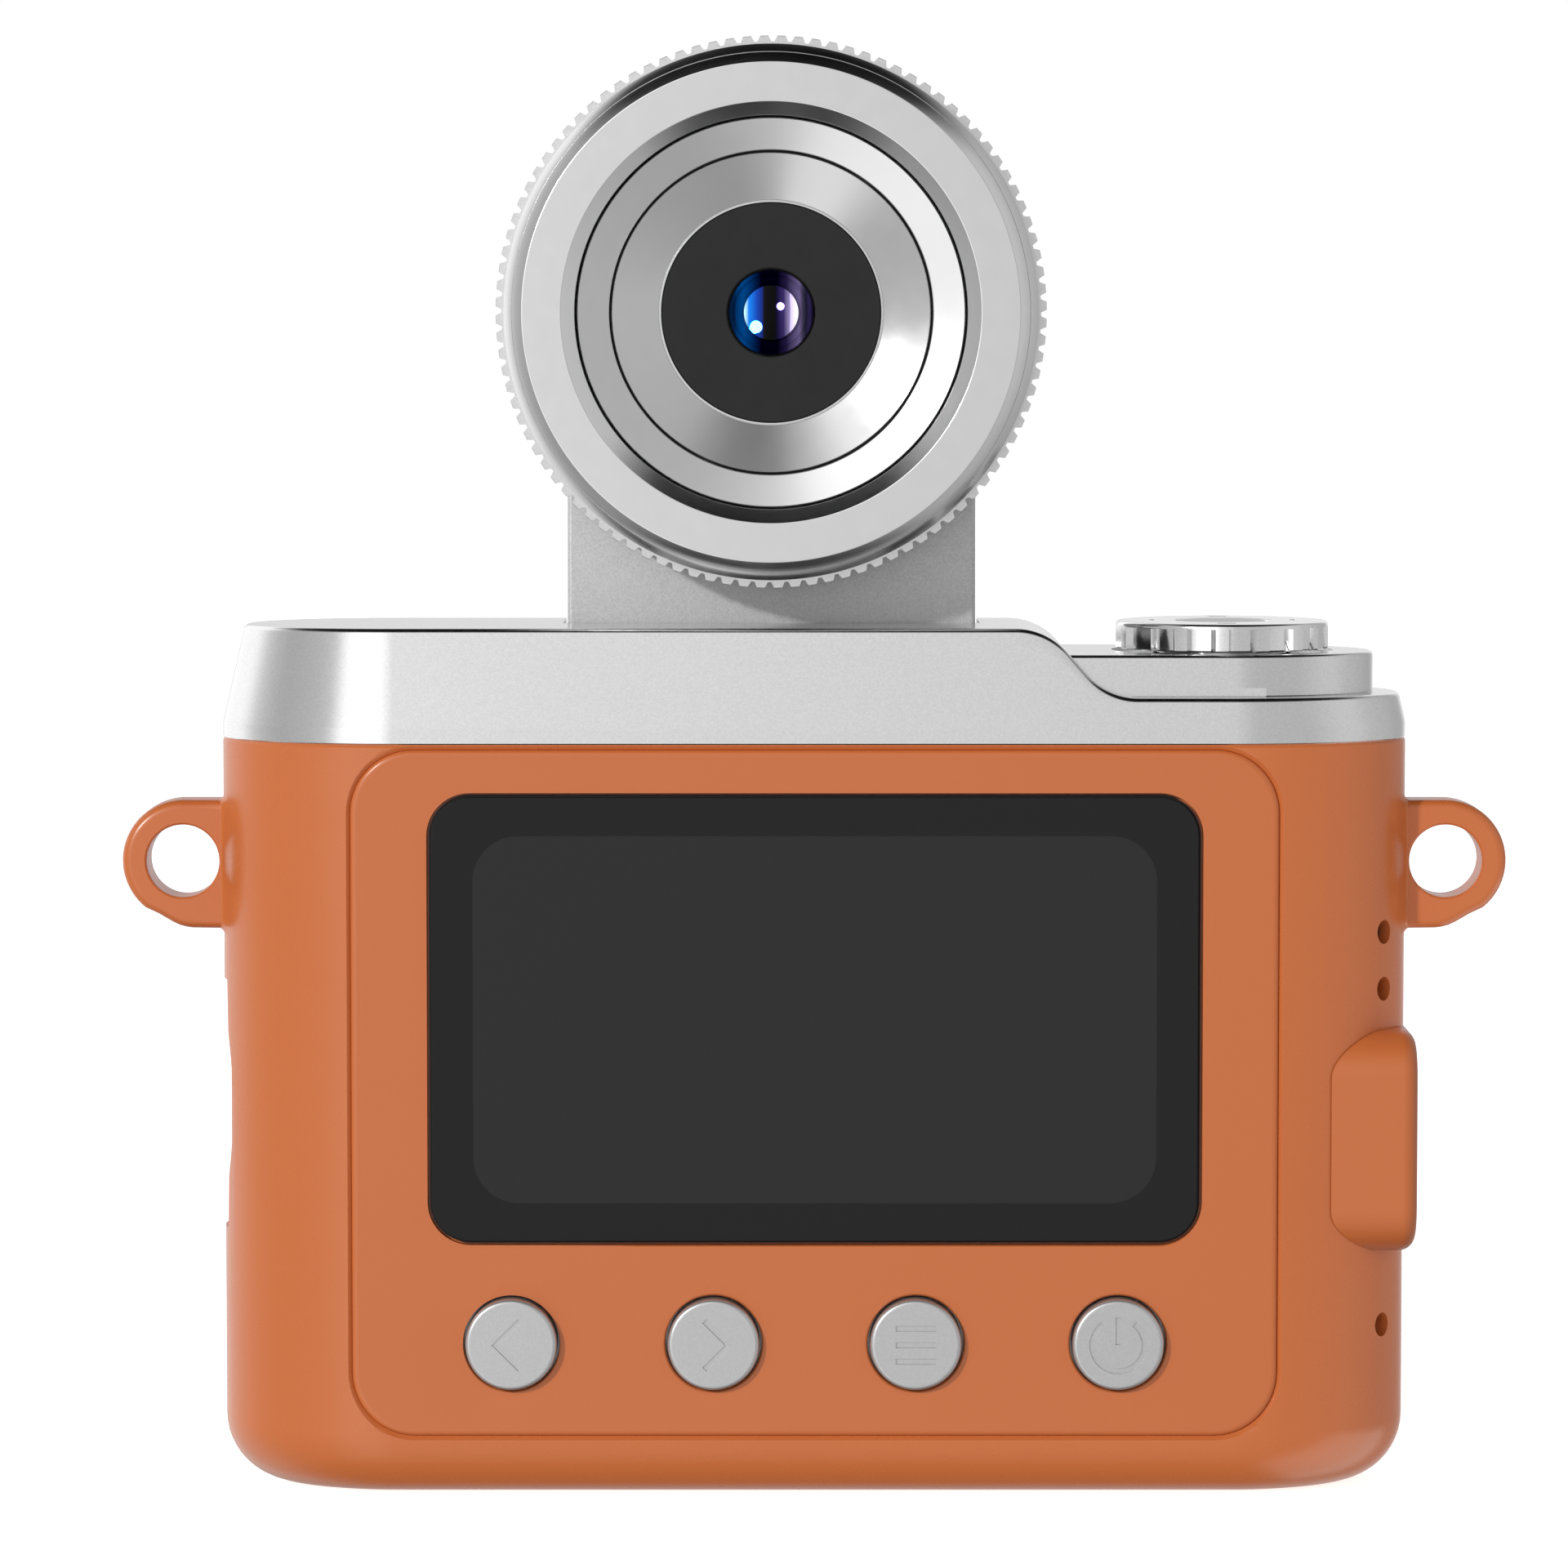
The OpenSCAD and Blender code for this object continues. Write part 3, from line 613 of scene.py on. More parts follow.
def cover_outline(outset):
    """Outline of the opening for the rear cover, with points close enough to follow the rounded ends."""
    lo_z, hi_z = panel_lo.z - 0.12, panel_hi.z - 0.06
    w = 2 * (panel_hi.x + 0.3)
    outline = rounded_outline(w + 2 * outset, hi_z - lo_z + 2 * outset, 5.0 + outset, 14,
                              0.0, (lo_z + hi_z) / 2)
    spacing = 4.0
    dense = []
    for (x0, z0), (x1, z1) in zip(outline, outline[1:] + outline[:1]):
        parts = max(1, int(math.hypot(x1 - x0, z1 - z0) / spacing))
        dense += [(x0 + (x1 - x0) * i / parts, z0 + (z1 - z0) * i / parts) for i in range(parts)]
    return dense


def cover_rings(levels):
    """Rings of the cover's outline at (outset, depth below the body's surface)."""
    base = cover_outline(0)
    return [[(x, surface_y(bx) + depth, z) for (x, z), (bx, _) in zip(cover_outline(outset), base)]
            for outset, depth in levels]


def opening_cutter():
    """Cutter for the rear opening, with a chamfered mouth."""
    return loft("cutter", cover_rings([(MOUTH_W + 0.3, -0.6), (MOUTH_W + 0.04, 0.0), (MOUTH_W, 0.02),
                                       (0.0, GROOVE_DEPTH), (0.0, 4.0)]))


def lug(side):
    """Strap lug with rounded rims and a gusset below, and the soft blend into the body."""
    lug_x, lug_z, hole_r, outer_r, half_t = 50.1, 49.6, 2.87, 4.84, 2.25
    root = HALF_W - 1.6
    outline = [(root, lug_z + outer_r)]
    outline += arc(lug_x, lug_z, outer_r, 90, -51, 34)
    outline += [(lug_x + dx, lug_z + dz) for dx, dz in (
        (2.0, -4.25), (0.83, -4.93), (0.3, -5.17), (-0.2, -5.3), (-0.7, -5.37), (root - lug_x, -5.43))]
    rim_r = 0.75

    def shrink(points, inset):
        moved = []
        for i, p in enumerate(points):
            before, after = Vector(points[max(i - 1, 0)]), Vector(points[min(i + 1, len(points) - 1)])
            along = (after - before).normalized()
            moved.append((p[0] + along.y * inset, p[1] - along.x * inset))
        moved[0] = (root, moved[0][1])
        moved[-1] = (root, moved[-1][1])
        return moved

    rims = [(rim_r * (1 - math.sin(a)), -half_t + rim_r * (1 - math.cos(a))) for a in quarter(6)]
    rims += [(inset, -y) for inset, y in reversed(rims)]
    plate = loft("lug", [[(side * x, y, z) for x, z in shrink(outline, inset)] for inset, y in rims])
    mouth = [(hole_r + 0.5, -half_t - 0.35), (hole_r + 0.15, -half_t + 0.02), (hole_r + 0.04, -half_t + 0.1),
             (hole_r, -half_t + 0.25)]
    mouth += [(r, -y) for r, y in reversed(mouth)]
    cut(plate, loft("cutter", [[(side * x, y, z) for x, z in circle(lug_x, lug_z, r, 72)] for r, y in mouth]))
    return plate, root_fillet(side, lug_z + outer_r, lug_z - 5.4, half_t)


def root_fillet(side, z1, z0, half_t):
    """Concave band that blends the lug's root into the rounded end."""
    reach_y, reach_x, sink = 2.0, 0.42, 0.02
    outline = rounded_outline(2 * half_t, z1 - z0, 0.8, 6, 0.0, (z0 + z1) / 2)
    middle = Vector((0.0, (z0 + z1) / 2))
    angles = quarter(8)
    rings = []
    for a in angles:
        out = reach_y * (1 - math.cos(a))
        lift = reach_x * (1 - math.sin(a)) - (sink if a == angles[-1] else 0.0)
        ring = []
        for y, z in outline:
            direction = Vector((y, (z - middle.y) * 2 * half_t / (z1 - z0))).normalized()
            ny = y + direction.x * out
            nz = z + direction.y * out * 0.4
            ring.append((side * (end_surface_x(ny) + lift), ny, nz))
        rings.append(ring)
    back = [(side * (abs(x) - 0.8), y, z) for x, y, z in rings[-1]]
    return loft("fillet", rings + [back])


def build_body():
    """Hollow body shell with the lens recess, the rear opening, the lugs and the holes in its ends."""
    places = stations([FLAT_X * f for f in (-0.75, -0.5, -0.25, 0, 0.25, 0.5, 0.75)])
    levels = [(BOTTOM_R - BOTTOM_R * math.cos(a), BOTTOM_R - BOTTOM_R * math.sin(a))
              for a in quarter_down(12)]
    levels += [(0.0, z) for z in (15.0, 30.0, 45.0)] + [(0.0, SEAM_Z - 0.2), (0.12, SEAM_Z)]
    body = plan_solid("body_shell", places, levels)
    inner_r = BOTTOM_R - WALL
    inner = [(BOTTOM_R - inner_r * math.cos(a), BOTTOM_R - inner_r * math.sin(a)) for a in quarter_down(6)]
    hollow = plan_solid("cutter", places, inner + [(WALL, SEAM_Z + 2)])
    recess_wall = box_piece((SLOT_X0 - CHEEK, -SLOT_GAP - CHEEK, SLOT_Z - CHEEK),
                            (SLOT_X1 + CHEEK, PAST_BODY, SEAM_Z + 5))
    pillar = rod((TRIPOD_X, 0, 0.5), (TRIPOD_X, 0, 7.5), 6.0)
    cut(hollow, recess_wall, pillar)
    cut(body, hollow)
    for side in (-1, 1):
        join(body, *lug(side))
    recess = box_piece((SLOT_X0, -SLOT_GAP, SLOT_Z), (SLOT_X1, PAST_BODY, SEAM_Z + 5))
    bore = rod((TRIPOD_X, 0, -1), (TRIPOD_X, 0, 7.0), 4.2, 64)
    cut(body, recess, opening_cutter(), bore)
    port_lo, port_hi = size_of("port_cover")
    port_z = (port_lo.z + port_hi.z) / 2
    card_slot = box_piece((-50, -2.8, CARD_Z - 5.7), (-43, -1.4, CARD_Z + 5.7))
    port = box_piece((42, -4.6, port_z - 1.75), (50, 4.6, port_z + 1.75))
    bead = rod((*PORT_BEAD, port_z - 9.2), (*PORT_BEAD, port_z + 9.2), 0.92, 40)
    cut(body, card_recess_cutter(), card_slot, port, bead)
    for z in SIDE_HOLES_Z:
        x, y = end_surface_x(SIDE_HOLES_Y), SIDE_HOLES_Y
        normal = Vector(((x - FLAT_X) / END_LEN ** 2, y / HALF_D ** 2, 0)).normalized()
        spot = Vector((x, y, z))
        cut(body, rod(spot - normal * 5, spot + normal * 3, 0.95, 40))
    for x, z in circle(SPEAKER_X, SPEAKER_Z, 0, 1) + circle(SPEAKER_X, SPEAKER_Z, 3.0, 6):
        cut(body, rod((x, 8, z), (x, 13, z), 0.6, 24))
    return finish(body, "orange_plastic", "body", "body_shell")


def card_recess_cutter():
    """Shallow recess round the card slot with a finger scoop towards the screen side."""
    top, bottom, side_y = CARD_Z + 9.9, CARD_Z - 9.9, 2.7
    scoop_r, scoop_y = 15.3, 11.2
    half = math.degrees(math.asin(7.2 / scoop_r))
    outline = [(side_y, bottom), (side_y, top), (-side_y, top)]
    outline += [(y, z) for y, z in arc(scoop_y, CARD_Z, scoop_r, 180 - half, 180 + half, 20) if y < -side_y]
    outline += [(-side_y, bottom)]
    floor_x = -HALF_W + 0.8
    return loft("cutter", [[(x, y, z) for y, z in outline] for x in (floor_x - 4, floor_x)])


def build_rear_cover():
    """Rear cover: a rounded edge all round, a stepped window for the glass, four button holes."""
    levels = [(-0.02, WALL)]
    levels += [(-0.02 - COVER_EDGE * (1 - math.cos(a)), GROOVE_DEPTH * (1 - math.sin(a))) for a in quarter(8)]
    levels += [(-COVER_EDGE - 0.08, 0.0)]
    cover = loft("rear_cover", cover_rings(levels))
    gap = 0.2
    w, h = glass_hi.x - glass_lo.x + 2 * gap, glass_hi.z - glass_lo.z + 2 * gap
    pocket = rounded_outline(w, h, 3.4, 12, 0, SCREEN_Z)
    mouth = rounded_outline(w + 0.16, h + 0.16, 3.48, 12, 0, SCREEN_Z)
    window = rounded_outline(55, 30, 1.0, 6, 0, SCREEN_Z)
    cutters = [stack("cutter", [(mouth, -HALF_D - 1), (mouth, -HALF_D), (pocket, -HALF_D + 0.08),
                                (pocket, -HALF_D + 1.05)]),
               stack("cutter", [(window, -HALF_D), (window, -HALF_D + 4)])]
    hole_r = 3.78
    hole = ((0.35, -1), (0.25, -0.001), (0.1, 0.06), (0, 0.2), (0, 4))
    for name in BUTTONS:
        lo, hi = size_of(f"{name}_button")
        x, z = (lo.x + hi.x) / 2, (lo.z + hi.z) / 2
        cutters.append(stack("cutter", [(circle(x, z, hole_r + more, 96), -HALF_D + depth)
                                        for more, depth in hole]))
    cut(cover, *cutters)
    finish(cover, "orange_panel", "body", "rear_cover")


def build_top_cover():
    """Top cover: a tapered wall above a short lip, a rounded upper edge, and the ramp down to the deck."""
    places = stations([SLOT_X0 - 3, SLOT_X0, -8.0, 0.0, SLOT_X1] + ramp_xs + [28.0, 31.0])

    def part_way(fraction, drop):
        """Height at a fraction of the way from the lip to `drop` below the upper side."""
        return lambda x: LIP_Z + fraction * (ramp_height(x, drop) - LIP_Z)

    def above_wall(rise):
        return lambda x: ramp_height(x, EDGE_R) + rise

    def level(height, extra=0.0):
        """A ring whose inset follows the wall's taper."""
        def inset(place):
            x = station_point(place, 0)[0]
            return TAPER * (height(x) - LIP_Z) / (TOP_Z - LIP_Z) + extra
        return inset, height

    levels = [(0.1, SEAM_Z), (0.0, SEAM_Z + 0.12), (0.0, LIP_Z - 0.1), (0.02, LIP_Z + 0.05)]
    levels += [level(part_way(i / 6, EDGE_R)) for i in range(1, 7)]
    levels += [level(above_wall(EDGE_R * math.sin(a)), EDGE_R * (1 - math.cos(a))) for a in quarter(8, 1)]
    cover = plan_solid("top_cover", places, levels, sharp=30)

    inner_wall = 1.8
    inner_levels = [(inner_wall, SEAM_Z - 2), (inner_wall, LIP_Z)]
    inner_levels += [level(part_way(i / 3, ROOF_T), inner_wall) for i in range(1, 4)]
    hollow = plan_solid("cutter", places, inner_levels)
    cut(hollow,
        box_piece((SLOT_X0 - CHEEK, -SLOT_GAP - CHEEK, SEAM_Z - 5), (SLOT_X1 + CHEEK, PAST_BODY, TOP_Z + 5)),
        box_piece((SLOT_X0 - 3, 1.5, SEAM_Z - 5), (SLOT_X1 + 3, PAST_BODY + 1, TOP_Z + 6)))
    slot = box_piece((SLOT_X0, -SLOT_GAP, SEAM_Z - 5), (SLOT_X1, PAST_BODY, TOP_Z + 5), upright_r=0.3)
    well = rod((DIAL_X, 0, SEAM_Z - 2), (DIAL_X, 0, SHOULDER_Z + 2), 7.8, 64)
    hinge = rod((SLOT_X0 - 4, ARM_T / 2, HINGE_Z), (SLOT_X1 + 4, ARM_T / 2, HINGE_Z), 2.6)
    cut(cover, hollow, slot, well, hinge)
    return finish(cover, "silver_top", "body", "top_cover", sharp=28)


def build_dial_deck():
    """Raised deck under the dial, with a strip that closes the gap to the shoulder."""
    places = [p for p in stations([18.5, 21, 24, 27, 30]) if station_point(p, 0)[0] > 18]
    levels = [(DECK_INSET + 0.05, SHOULDER_Z), (DECK_INSET, SHOULDER_Z + 0.08),
              (DECK_INSET, SHOULDER_Z + 1.2), (DECK_INSET, DECK_Z - EDGE_R)]
    levels += [(DECK_INSET + 0.45 * (1 - math.cos(a)), DECK_Z - EDGE_R + EDGE_R * math.sin(a))
               for a in quarter(8, 1)]
    rings = []
    for inset, z in levels:
        near = [(*station_point(p, inset), z) for p in places]
        rings.append(near + [(x, -y, z) for x, y, z in reversed(near[:-1])])
    deck = loft("dial_deck", rings)
    bore = rod((DIAL_X, 0, SHOULDER_Z - 1), (DIAL_X, 0, DECK_Z + 1), 5.5, 64)
    seat = rod((DIAL_X, 0, DECK_Z - 0.25), (DIAL_X, 0, DECK_Z + 1), DIAL_R + 0.35, 128)
    strip = box_piece((20, -HALF_D + DECK_INSET - 0.05, SHOULDER_Z + 0.02),
                      (FLAT_X + 2.4, -2, SHOULDER_Z + 0.68))
    join(deck, strip)
    cut(deck, bore, seat)
    finish(deck, "silver_deck", "body", "dial_deck")


def build_mode_dial():
    """Dial with square-cut grip notches under a thin rounded cap, and four marks on top."""
    steps = 16 * NOTCHES
    cap, cap_r, depth, flank, notch_w = 0.42, 0.3, 0.55, 0.045, 0.64
    under_cap = DIAL_TOP - cap

    def notch_depth(i):
        phase = i / steps * NOTCHES % 1.0
        return 0.0 if phase > notch_w else depth * min(1.0, min(phase, notch_w - phase) / flank)

    def ring(radius, z, notched=False):
        points = []
        for i in range(steps):
            r = radius - DIAL_R + (DIAL_R - notch_depth(i) if notched else DIAL_R)
            points.append((DIAL_X + r * math.cos(TAU * i / steps), r * math.sin(TAU * i / steps), z))
        return points

    def round_ring(radius, z):
        return [(x, y, z) for x, y in circle(DIAL_X, 0, radius, steps)]

    foot_r, inner = 5.15, SHUTTER_R + 0.15
    rings = [round_ring(foot_r, DIAL_FOOT), round_ring(foot_r, DIAL_BASE),
             ring(DIAL_R - 0.12, DIAL_BASE, True), ring(DIAL_R, DIAL_BASE + 0.1, True),
             ring(DIAL_R, under_cap - 0.02, True), ring(DIAL_R, under_cap)]
    rings += [ring(DIAL_R - cap_r * (1 - math.cos(a)), DIAL_TOP - cap_r + cap_r * math.sin(a))
              for a in quarter(6)]
    rings += [round_ring(inner + 0.25, DIAL_TOP), round_ring(inner + 0.08, DIAL_TOP - 0.06),
              round_ring(inner, DIAL_TOP - 0.22), round_ring(inner, DIAL_FOOT)]
    dial = loft("mode_dial", rings, 30, tube=True)
    for i in range(4):
        mark = box_piece((-0.7, 5.4, DIAL_TOP - 0.08), (0.7, 5.75 if i % 2 else 6.6, DIAL_TOP + 1), 0.12)
        place = Matrix.Translation(Vector((DIAL_X, 0, 0)) * MM)
        mark.data.transform(place @ Matrix.Rotation(TAU * i / 4, 4, "Z"))
        cut(dial, mark)
    finish(dial, "silver_dial", "dial", "mode_dial")


def build_shutter():
    """Round button with a softly dished top, on a thin stem that just clears its switch."""
    r, top, stem_r = SHUTTER_R, DIAL_TOP, 1.3
    stem_end = size_of("shutter_button")[0].z + 0.04
    profile = [(0.01, top - 0.12), (r * 0.6, top - 0.08), (r - 0.5, top - 0.01), (r - 0.2, top - 0.03),
               (r - 0.05, top - 0.12), (r, top - 0.3), (r, top - 1.6), (stem_r, top - 1.6),
               (stem_r, stem_end), (0.01, stem_end)]
    button = turned("shutter_button", profile, lambda x, y, h: (DIAL_X + x, y, h), 96)
    dress(button, "silver_button", "shutter", "shutter_button")


# ---- buttons

STROKE_W = 0.46
STROKE_DEPTH = 0.16


def stroke(points, face_y):
    """A straight-sided line engraved through the points, as a closed cutter."""
    pieces = []
    for a, b in zip(points, points[1:]):
        a, b = Vector(a), Vector(b)
        along = (b - a).normalized() * STROKE_W / 2
        across = Vector((-along.y, along.x))
        corners = [a - along + across, a - along - across, b + along - across, b + along + across]
        pieces.append(stack("cutter", [(corners, face_y - 1), (corners, face_y + STROKE_DEPTH)]))
    join(*pieces)
    return pieces[0]


def arc_stroke(r, start, end, face_y):
    """An engraved arc, as a closed cutter."""
    inner = arc(0, 0, r - STROKE_W / 2, start, end, 40)
    outline = arc(0, 0, r + STROKE_W / 2, start, end, 40) + inner[::-1]
    return stack("cutter", [(outline, face_y - 1), (outline, face_y + STROKE_DEPTH)])


def symbol_cutters(name, face_y):
    """The pictogram of a button: a chevron, three bars or a power sign."""
    if name == "previous":
        return [stroke([(0.55, 1.75), (-1.2, 0.0), (0.55, -1.75)], face_y)]
    if name == "next":
        return [stroke([(-0.55, 1.75), (1.2, 0.0), (-0.55, -1.75)], face_y)]
    if name == "menu":
        return [stroke([(-1.35, z), (1.35, z)], face_y) for z in (-1.3, 0.0, 1.3)]
    return [arc_stroke(2.05, 90 + 36, 450 - 36, face_y), stroke([(0, 0.25), (0, 1.95)], face_y)]


def build_button(name):
    """Round button with an eased edge, a hidden flange and an engraved symbol."""
    node = f"{name}_button"
    lo, hi = size_of(node)
    front, r, edge = lo.y, 3.58, 0.32
    flange, flange_y, back_y = (hi.x - lo.x) / 2, -9.35, -8.75
    profile = [(0.01, back_y), (flange, back_y), (flange, flange_y), (r, flange_y)]
    profile += [(r - edge + edge * math.cos(a), front + edge - edge * math.sin(a)) for a in quarter(8)]
    profile += [(r - edge - 0.04, front), (0.01, front)]
    button = turned(node, profile, lambda x, y, h: (x, h, y), 128, sharp=35)
    cut(button, *symbol_cutters(name, front))
    button.data.transform(Matrix.Translation(Vector(((lo.x + hi.x) / 2, 0, (lo.z + hi.z) / 2)) * MM))
    finish(button, "silver_button", f"{name}_key", node)


# ---- flip arm and lens

def arm_outline(inset):
    """The arm's outline down to the hinge axis: straight sides and a rounded top."""
    r, side = 4.0, ARM_W / 2
    top = arc(LENS_X + side - r, ARM_TOP - r, r - inset, 0, 90, 10)
    top += arc(LENS_X - side + r, ARM_TOP - r, r - inset, 90, 180, 10)
    return top + [(LENS_X - side + inset, HINGE_Z), (LENS_X + side - inset, HINGE_Z)]


def knuckle():
    """Round foot of the arm about the hinge axis."""
    r, side, part = ARM_T / 2, ARM_W / 2, ARM_EDGE * 0.3
    levels = [(ARM_EDGE, -side), (part, -side + part), (0, -side + ARM_EDGE), (0, side - ARM_EDGE),
              (part, side - part), (ARM_EDGE, side)]
    return loft("cutter", [[(LENS_X + x, y, z) for y, z in circle(r, HINGE_Z, r - inset, 64)]
                           for inset, x in levels])


def build_arm():
    """The arm's front half and its rear cover, both with softly rounded edges."""
    cx, side, edge = LENS_X, ARM_W / 2, ARM_EDGE
    split, low = cover_lo.y, cover_lo.z
    levels = [(edge * (1 - math.sin(a)), edge * (1 - math.cos(a))) for a in quarter(5)]
    levels += [(0.0, split - 0.15), (0.12, split - 0.05)]
    shell = stack("arm_shell", [(arm_outline(inset), y) for inset, y in levels])
    foot = knuckle()
    tongue_z = HINGE_Z + 7.3
    tongue = []
    for inset, y in ((0.0, split - 2), (0.0, ARM_T - edge), (edge, ARM_T)):
        x0, x1 = cx - side + inset, cx + side - inset
        tongue.append(([(x1, tongue_z), (x0, tongue_z), (x0, HINGE_Z), (x1, HINGE_Z)], y))
    join(shell, stack("cutter", tongue), foot)
    cut(shell, rod((cx, -1, LENS_Z), (cx, split + 1, LENS_Z), 8.6, 64),
        rod((arm_lo.x - 1, ARM_T / 2, HINGE_Z), (arm_lo.x + 5, ARM_T / 2, HINGE_Z), 1.5, 32),
        rod((arm_hi.x + 1, ARM_T / 2, HINGE_Z), (arm_hi.x - 5, ARM_T / 2, HINGE_Z), 1.5, 32))
    finish(shell, "silver_arm", "lens_arm", "arm_shell", sharp=28)

    levels = [(0.1, split), (0.0, split + 0.1), (0.0, ARM_T - edge)]
    levels += [(edge * (1 - math.cos(a)), ARM_T - edge + edge * math.sin(a)) for a in quarter(5, 1)]
    plate = stack("arm_cover", [([(x, max(z, low + inset)) for x, z in arm_outline(inset)], y)
                                for inset, y in levels])
    for x in (cx - 12.6, cx + 12.6):
        for z in (74.2, 99.4):
            cut(plate, rod((x, ARM_T - 0.8, z), (x, ARM_T + 1, z), 1.6, 40),
                rod((x, split - 1, z), (x, ARM_T, z), 0.9, 24))
    finish(plate, "silver_arm", "lens_arm", "arm_cover", sharp=28)


def lens_turning(slot, node, profile, steps=256, sharp=20):
    """A part turned about the lens axis, from (radius, height) points."""
    return dress(turned(node, profile, on_lens, steps, sharp), slot, "lens_arm", node)


def build_barrel():
    """Tube that the knurled ring turns on, with the flange behind it."""
    lens_turning("silver_lens", "lens_barrel", [
        (8.4, 0), (10, 0), (10, 0.7), (20.8, 0.7), (20.9, 0.8), (20.9, 1.55), (20.85, 1.6), (20.35, 1.6),
        (20.35, 7), (18.5, 7), (18.5, 1.6), (9.4, 1.6), (9.4, 5.9), (8.4, 5.9)], 192, 32)


def build_bezel():
    """Bezel: a rounded shoulder with a scribed line, a flat front and a short bore."""
    flat_out, flat_in, bore, outer, scribe = 19.4, 16.38, 15.27, 20.8, 20.15
    slope_in, slope_out, curve, ease = 35, 60, 4.8, 0.16
    front, base = BARREL_H + BEZEL_PROUD, 7.05
    start = math.sin(math.radians(slope_in))
    side = [(flat_out + curve * (math.sin(t) - start),
             BARREL_H - curve * (math.cos(math.radians(slope_in)) - math.cos(t)))
            for t in [math.radians(slope_out + (slope_in - slope_out) * i / 24) for i in range(25)]]

    def eased(from_r, from_sine, degrees):
        a = math.radians(degrees)
        return from_r + ease * (math.sin(a) - from_sine), front - ease * (1 - math.cos(a))

    profile = [(bore, 5.95), (18.45, 5.95), (18.45, base), (outer - 0.12, base), (outer, base + 0.12),
               (outer, side[0][1] - 0.12)]
    for (r, h), (next_r, _) in zip(side, side[1:] + side[-1:]):
        profile.append((r, h))
        if r > scribe >= next_r:
            profile += [(r - 0.02, h - 0.07), (next_r + 0.01, h - 0.05)]
    profile += [eased(flat_out, start, degrees) for degrees in (28, 20, 12, 5, 0)]
    profile += [eased(flat_in, 0, degrees) for degrees in (0, -8, -16, -24, -32)]
    profile += [(bore + 0.04, BARREL_H - 0.84), (bore, BARREL_H - 0.92)]
    lens_turning("silver_lens", "front_bezel", profile, sharp=24)


def build_trim_rings():
    """Two sloped rings that step down to the dark mask."""
    h0, h = 6.85, BARREL_H
    lens_turning("silver_ring", "outer_trim_ring", [
        (12.62, h0), (15.1, h0), (15.1, h - 1.5), (15.03, h - 1.42), (12.68, h - 2.15), (12.62, h - 2.21)])
    lens_turning("silver_ring", "inner_trim_ring", [
        (8.6, h0), (12.42, h0), (12.42, h - 2.55), (12.36, h - 2.49), (8.82, h - 4.14), (8.76, h - 4.24),
        (8.72, h - 4.24), (8.7, h - 4.2), (8.62, h - 4.2), (8.6, h - 4.22)])
    lens_turning("lens_black", "lens_mask", [
        (3.45, h0), (8.55, h0), (8.55, 7.25), (8.5, 7.3), (3.55, 7.3), (3.45, 7.22)], 192, 32)


def build_front_lens():
    """Domed glass in a dark stepped rim; it rides on the focus cell."""
    dome_r, dome_curve, top = 2.12, 7.92, 7.8
    profile = [(0.01, 3.5), (3.3, 3.5), (3.3, 7.1), (3.22, 7.2), (3.02, 7.24), (2.93, 7.12), (2.86, 7.12),
               (2.78, 7.2), (2.3, 7.24), (2.23, 7.2), (2.17, 7.22), (2.15, 7.44)]
    profile += [(r, top - dome_curve + math.sqrt(dome_curve ** 2 - r ** 2))
                for r in [dome_r * (1 - i / 12) for i in range(12)]]
    profile += [(0.01, top)]
    glass = turned("front_lens", profile, on_lens, 128, sharp=20)
    return dress(glass, "lens_glass", "focus_cell", "front_lens")


def build_grip_ring():
    """Knurled ring: trapezoid teeth with narrow gaps and eased ends."""
    h0, h1 = -grip_hi.y, -grip_lo.y
    root, bore, eased = GRIP_R - 0.45, 20.4, 0.03
    tooth = ((0.0, 0.0), (0.15, 0.92), (0.18, 1.0), (0.62, 1.0), (0.65, 0.92), (0.8, 0.0))

    def ring(h, drop=0.0, inner=None):
        points = []
        for i in range(GRIP_TEETH):
            for along, up in tooth:
                a = TAU * (i + along) / GRIP_TEETH
                r = inner or root + (GRIP_R - root) * up - drop * (1 if up > 0 else 0.4)
                points.append(on_lens(r * math.cos(a), r * math.sin(a), h))
        return points

    grip = loft("focus_ring", [ring(h0, eased), ring(h0 + eased), ring(h1 - eased), ring(h1, eased),
                               ring(h1, inner=bore), ring(h0, inner=bore)], 25, tube=True)
    dress(grip, "silver_grip", "grip_ring", "focus_ring")


# ---- side cover and screen

def build_port_cover():
    """Raised soft cover on a bead, hollowed to follow the rounded end."""
    lo, hi = size_of("port_cover")
    face_x, top = hi.x - 0.5, hi.z - 0.6
    cz = (lo.z + top) / 2
    w, h = hi.y - lo.y, top - lo.z
    edge, corner_r = 1.2, 3.5
    rings = [[(36.0, y, z) for y, z in rounded_outline(w, h, corner_r, 12, 0, cz)]]
    for a in quarter(8):
        inset, x = edge * (1 - math.cos(a)), face_x - edge + edge * math.sin(a)
        outline = rounded_outline(w - 2 * inset, h - 2 * inset, corner_r - inset * 0.8, 12, 0, cz)
        rings.append([(x, y, z) for y, z in outline])
    cover = loft("port_cover", rings)
    clear = -0.12
    cut(cover, plan_solid("cutter", stations(), [(clear, lo.z - 5), (clear, hi.z + 5)]))
    join(cover, rod((*PORT_BEAD, cz - 6), (*PORT_BEAD, cz + 6), 0.8, 40))
    finish(cover, "orange_cover", "port_flap", "port_cover", bevel=0.12)


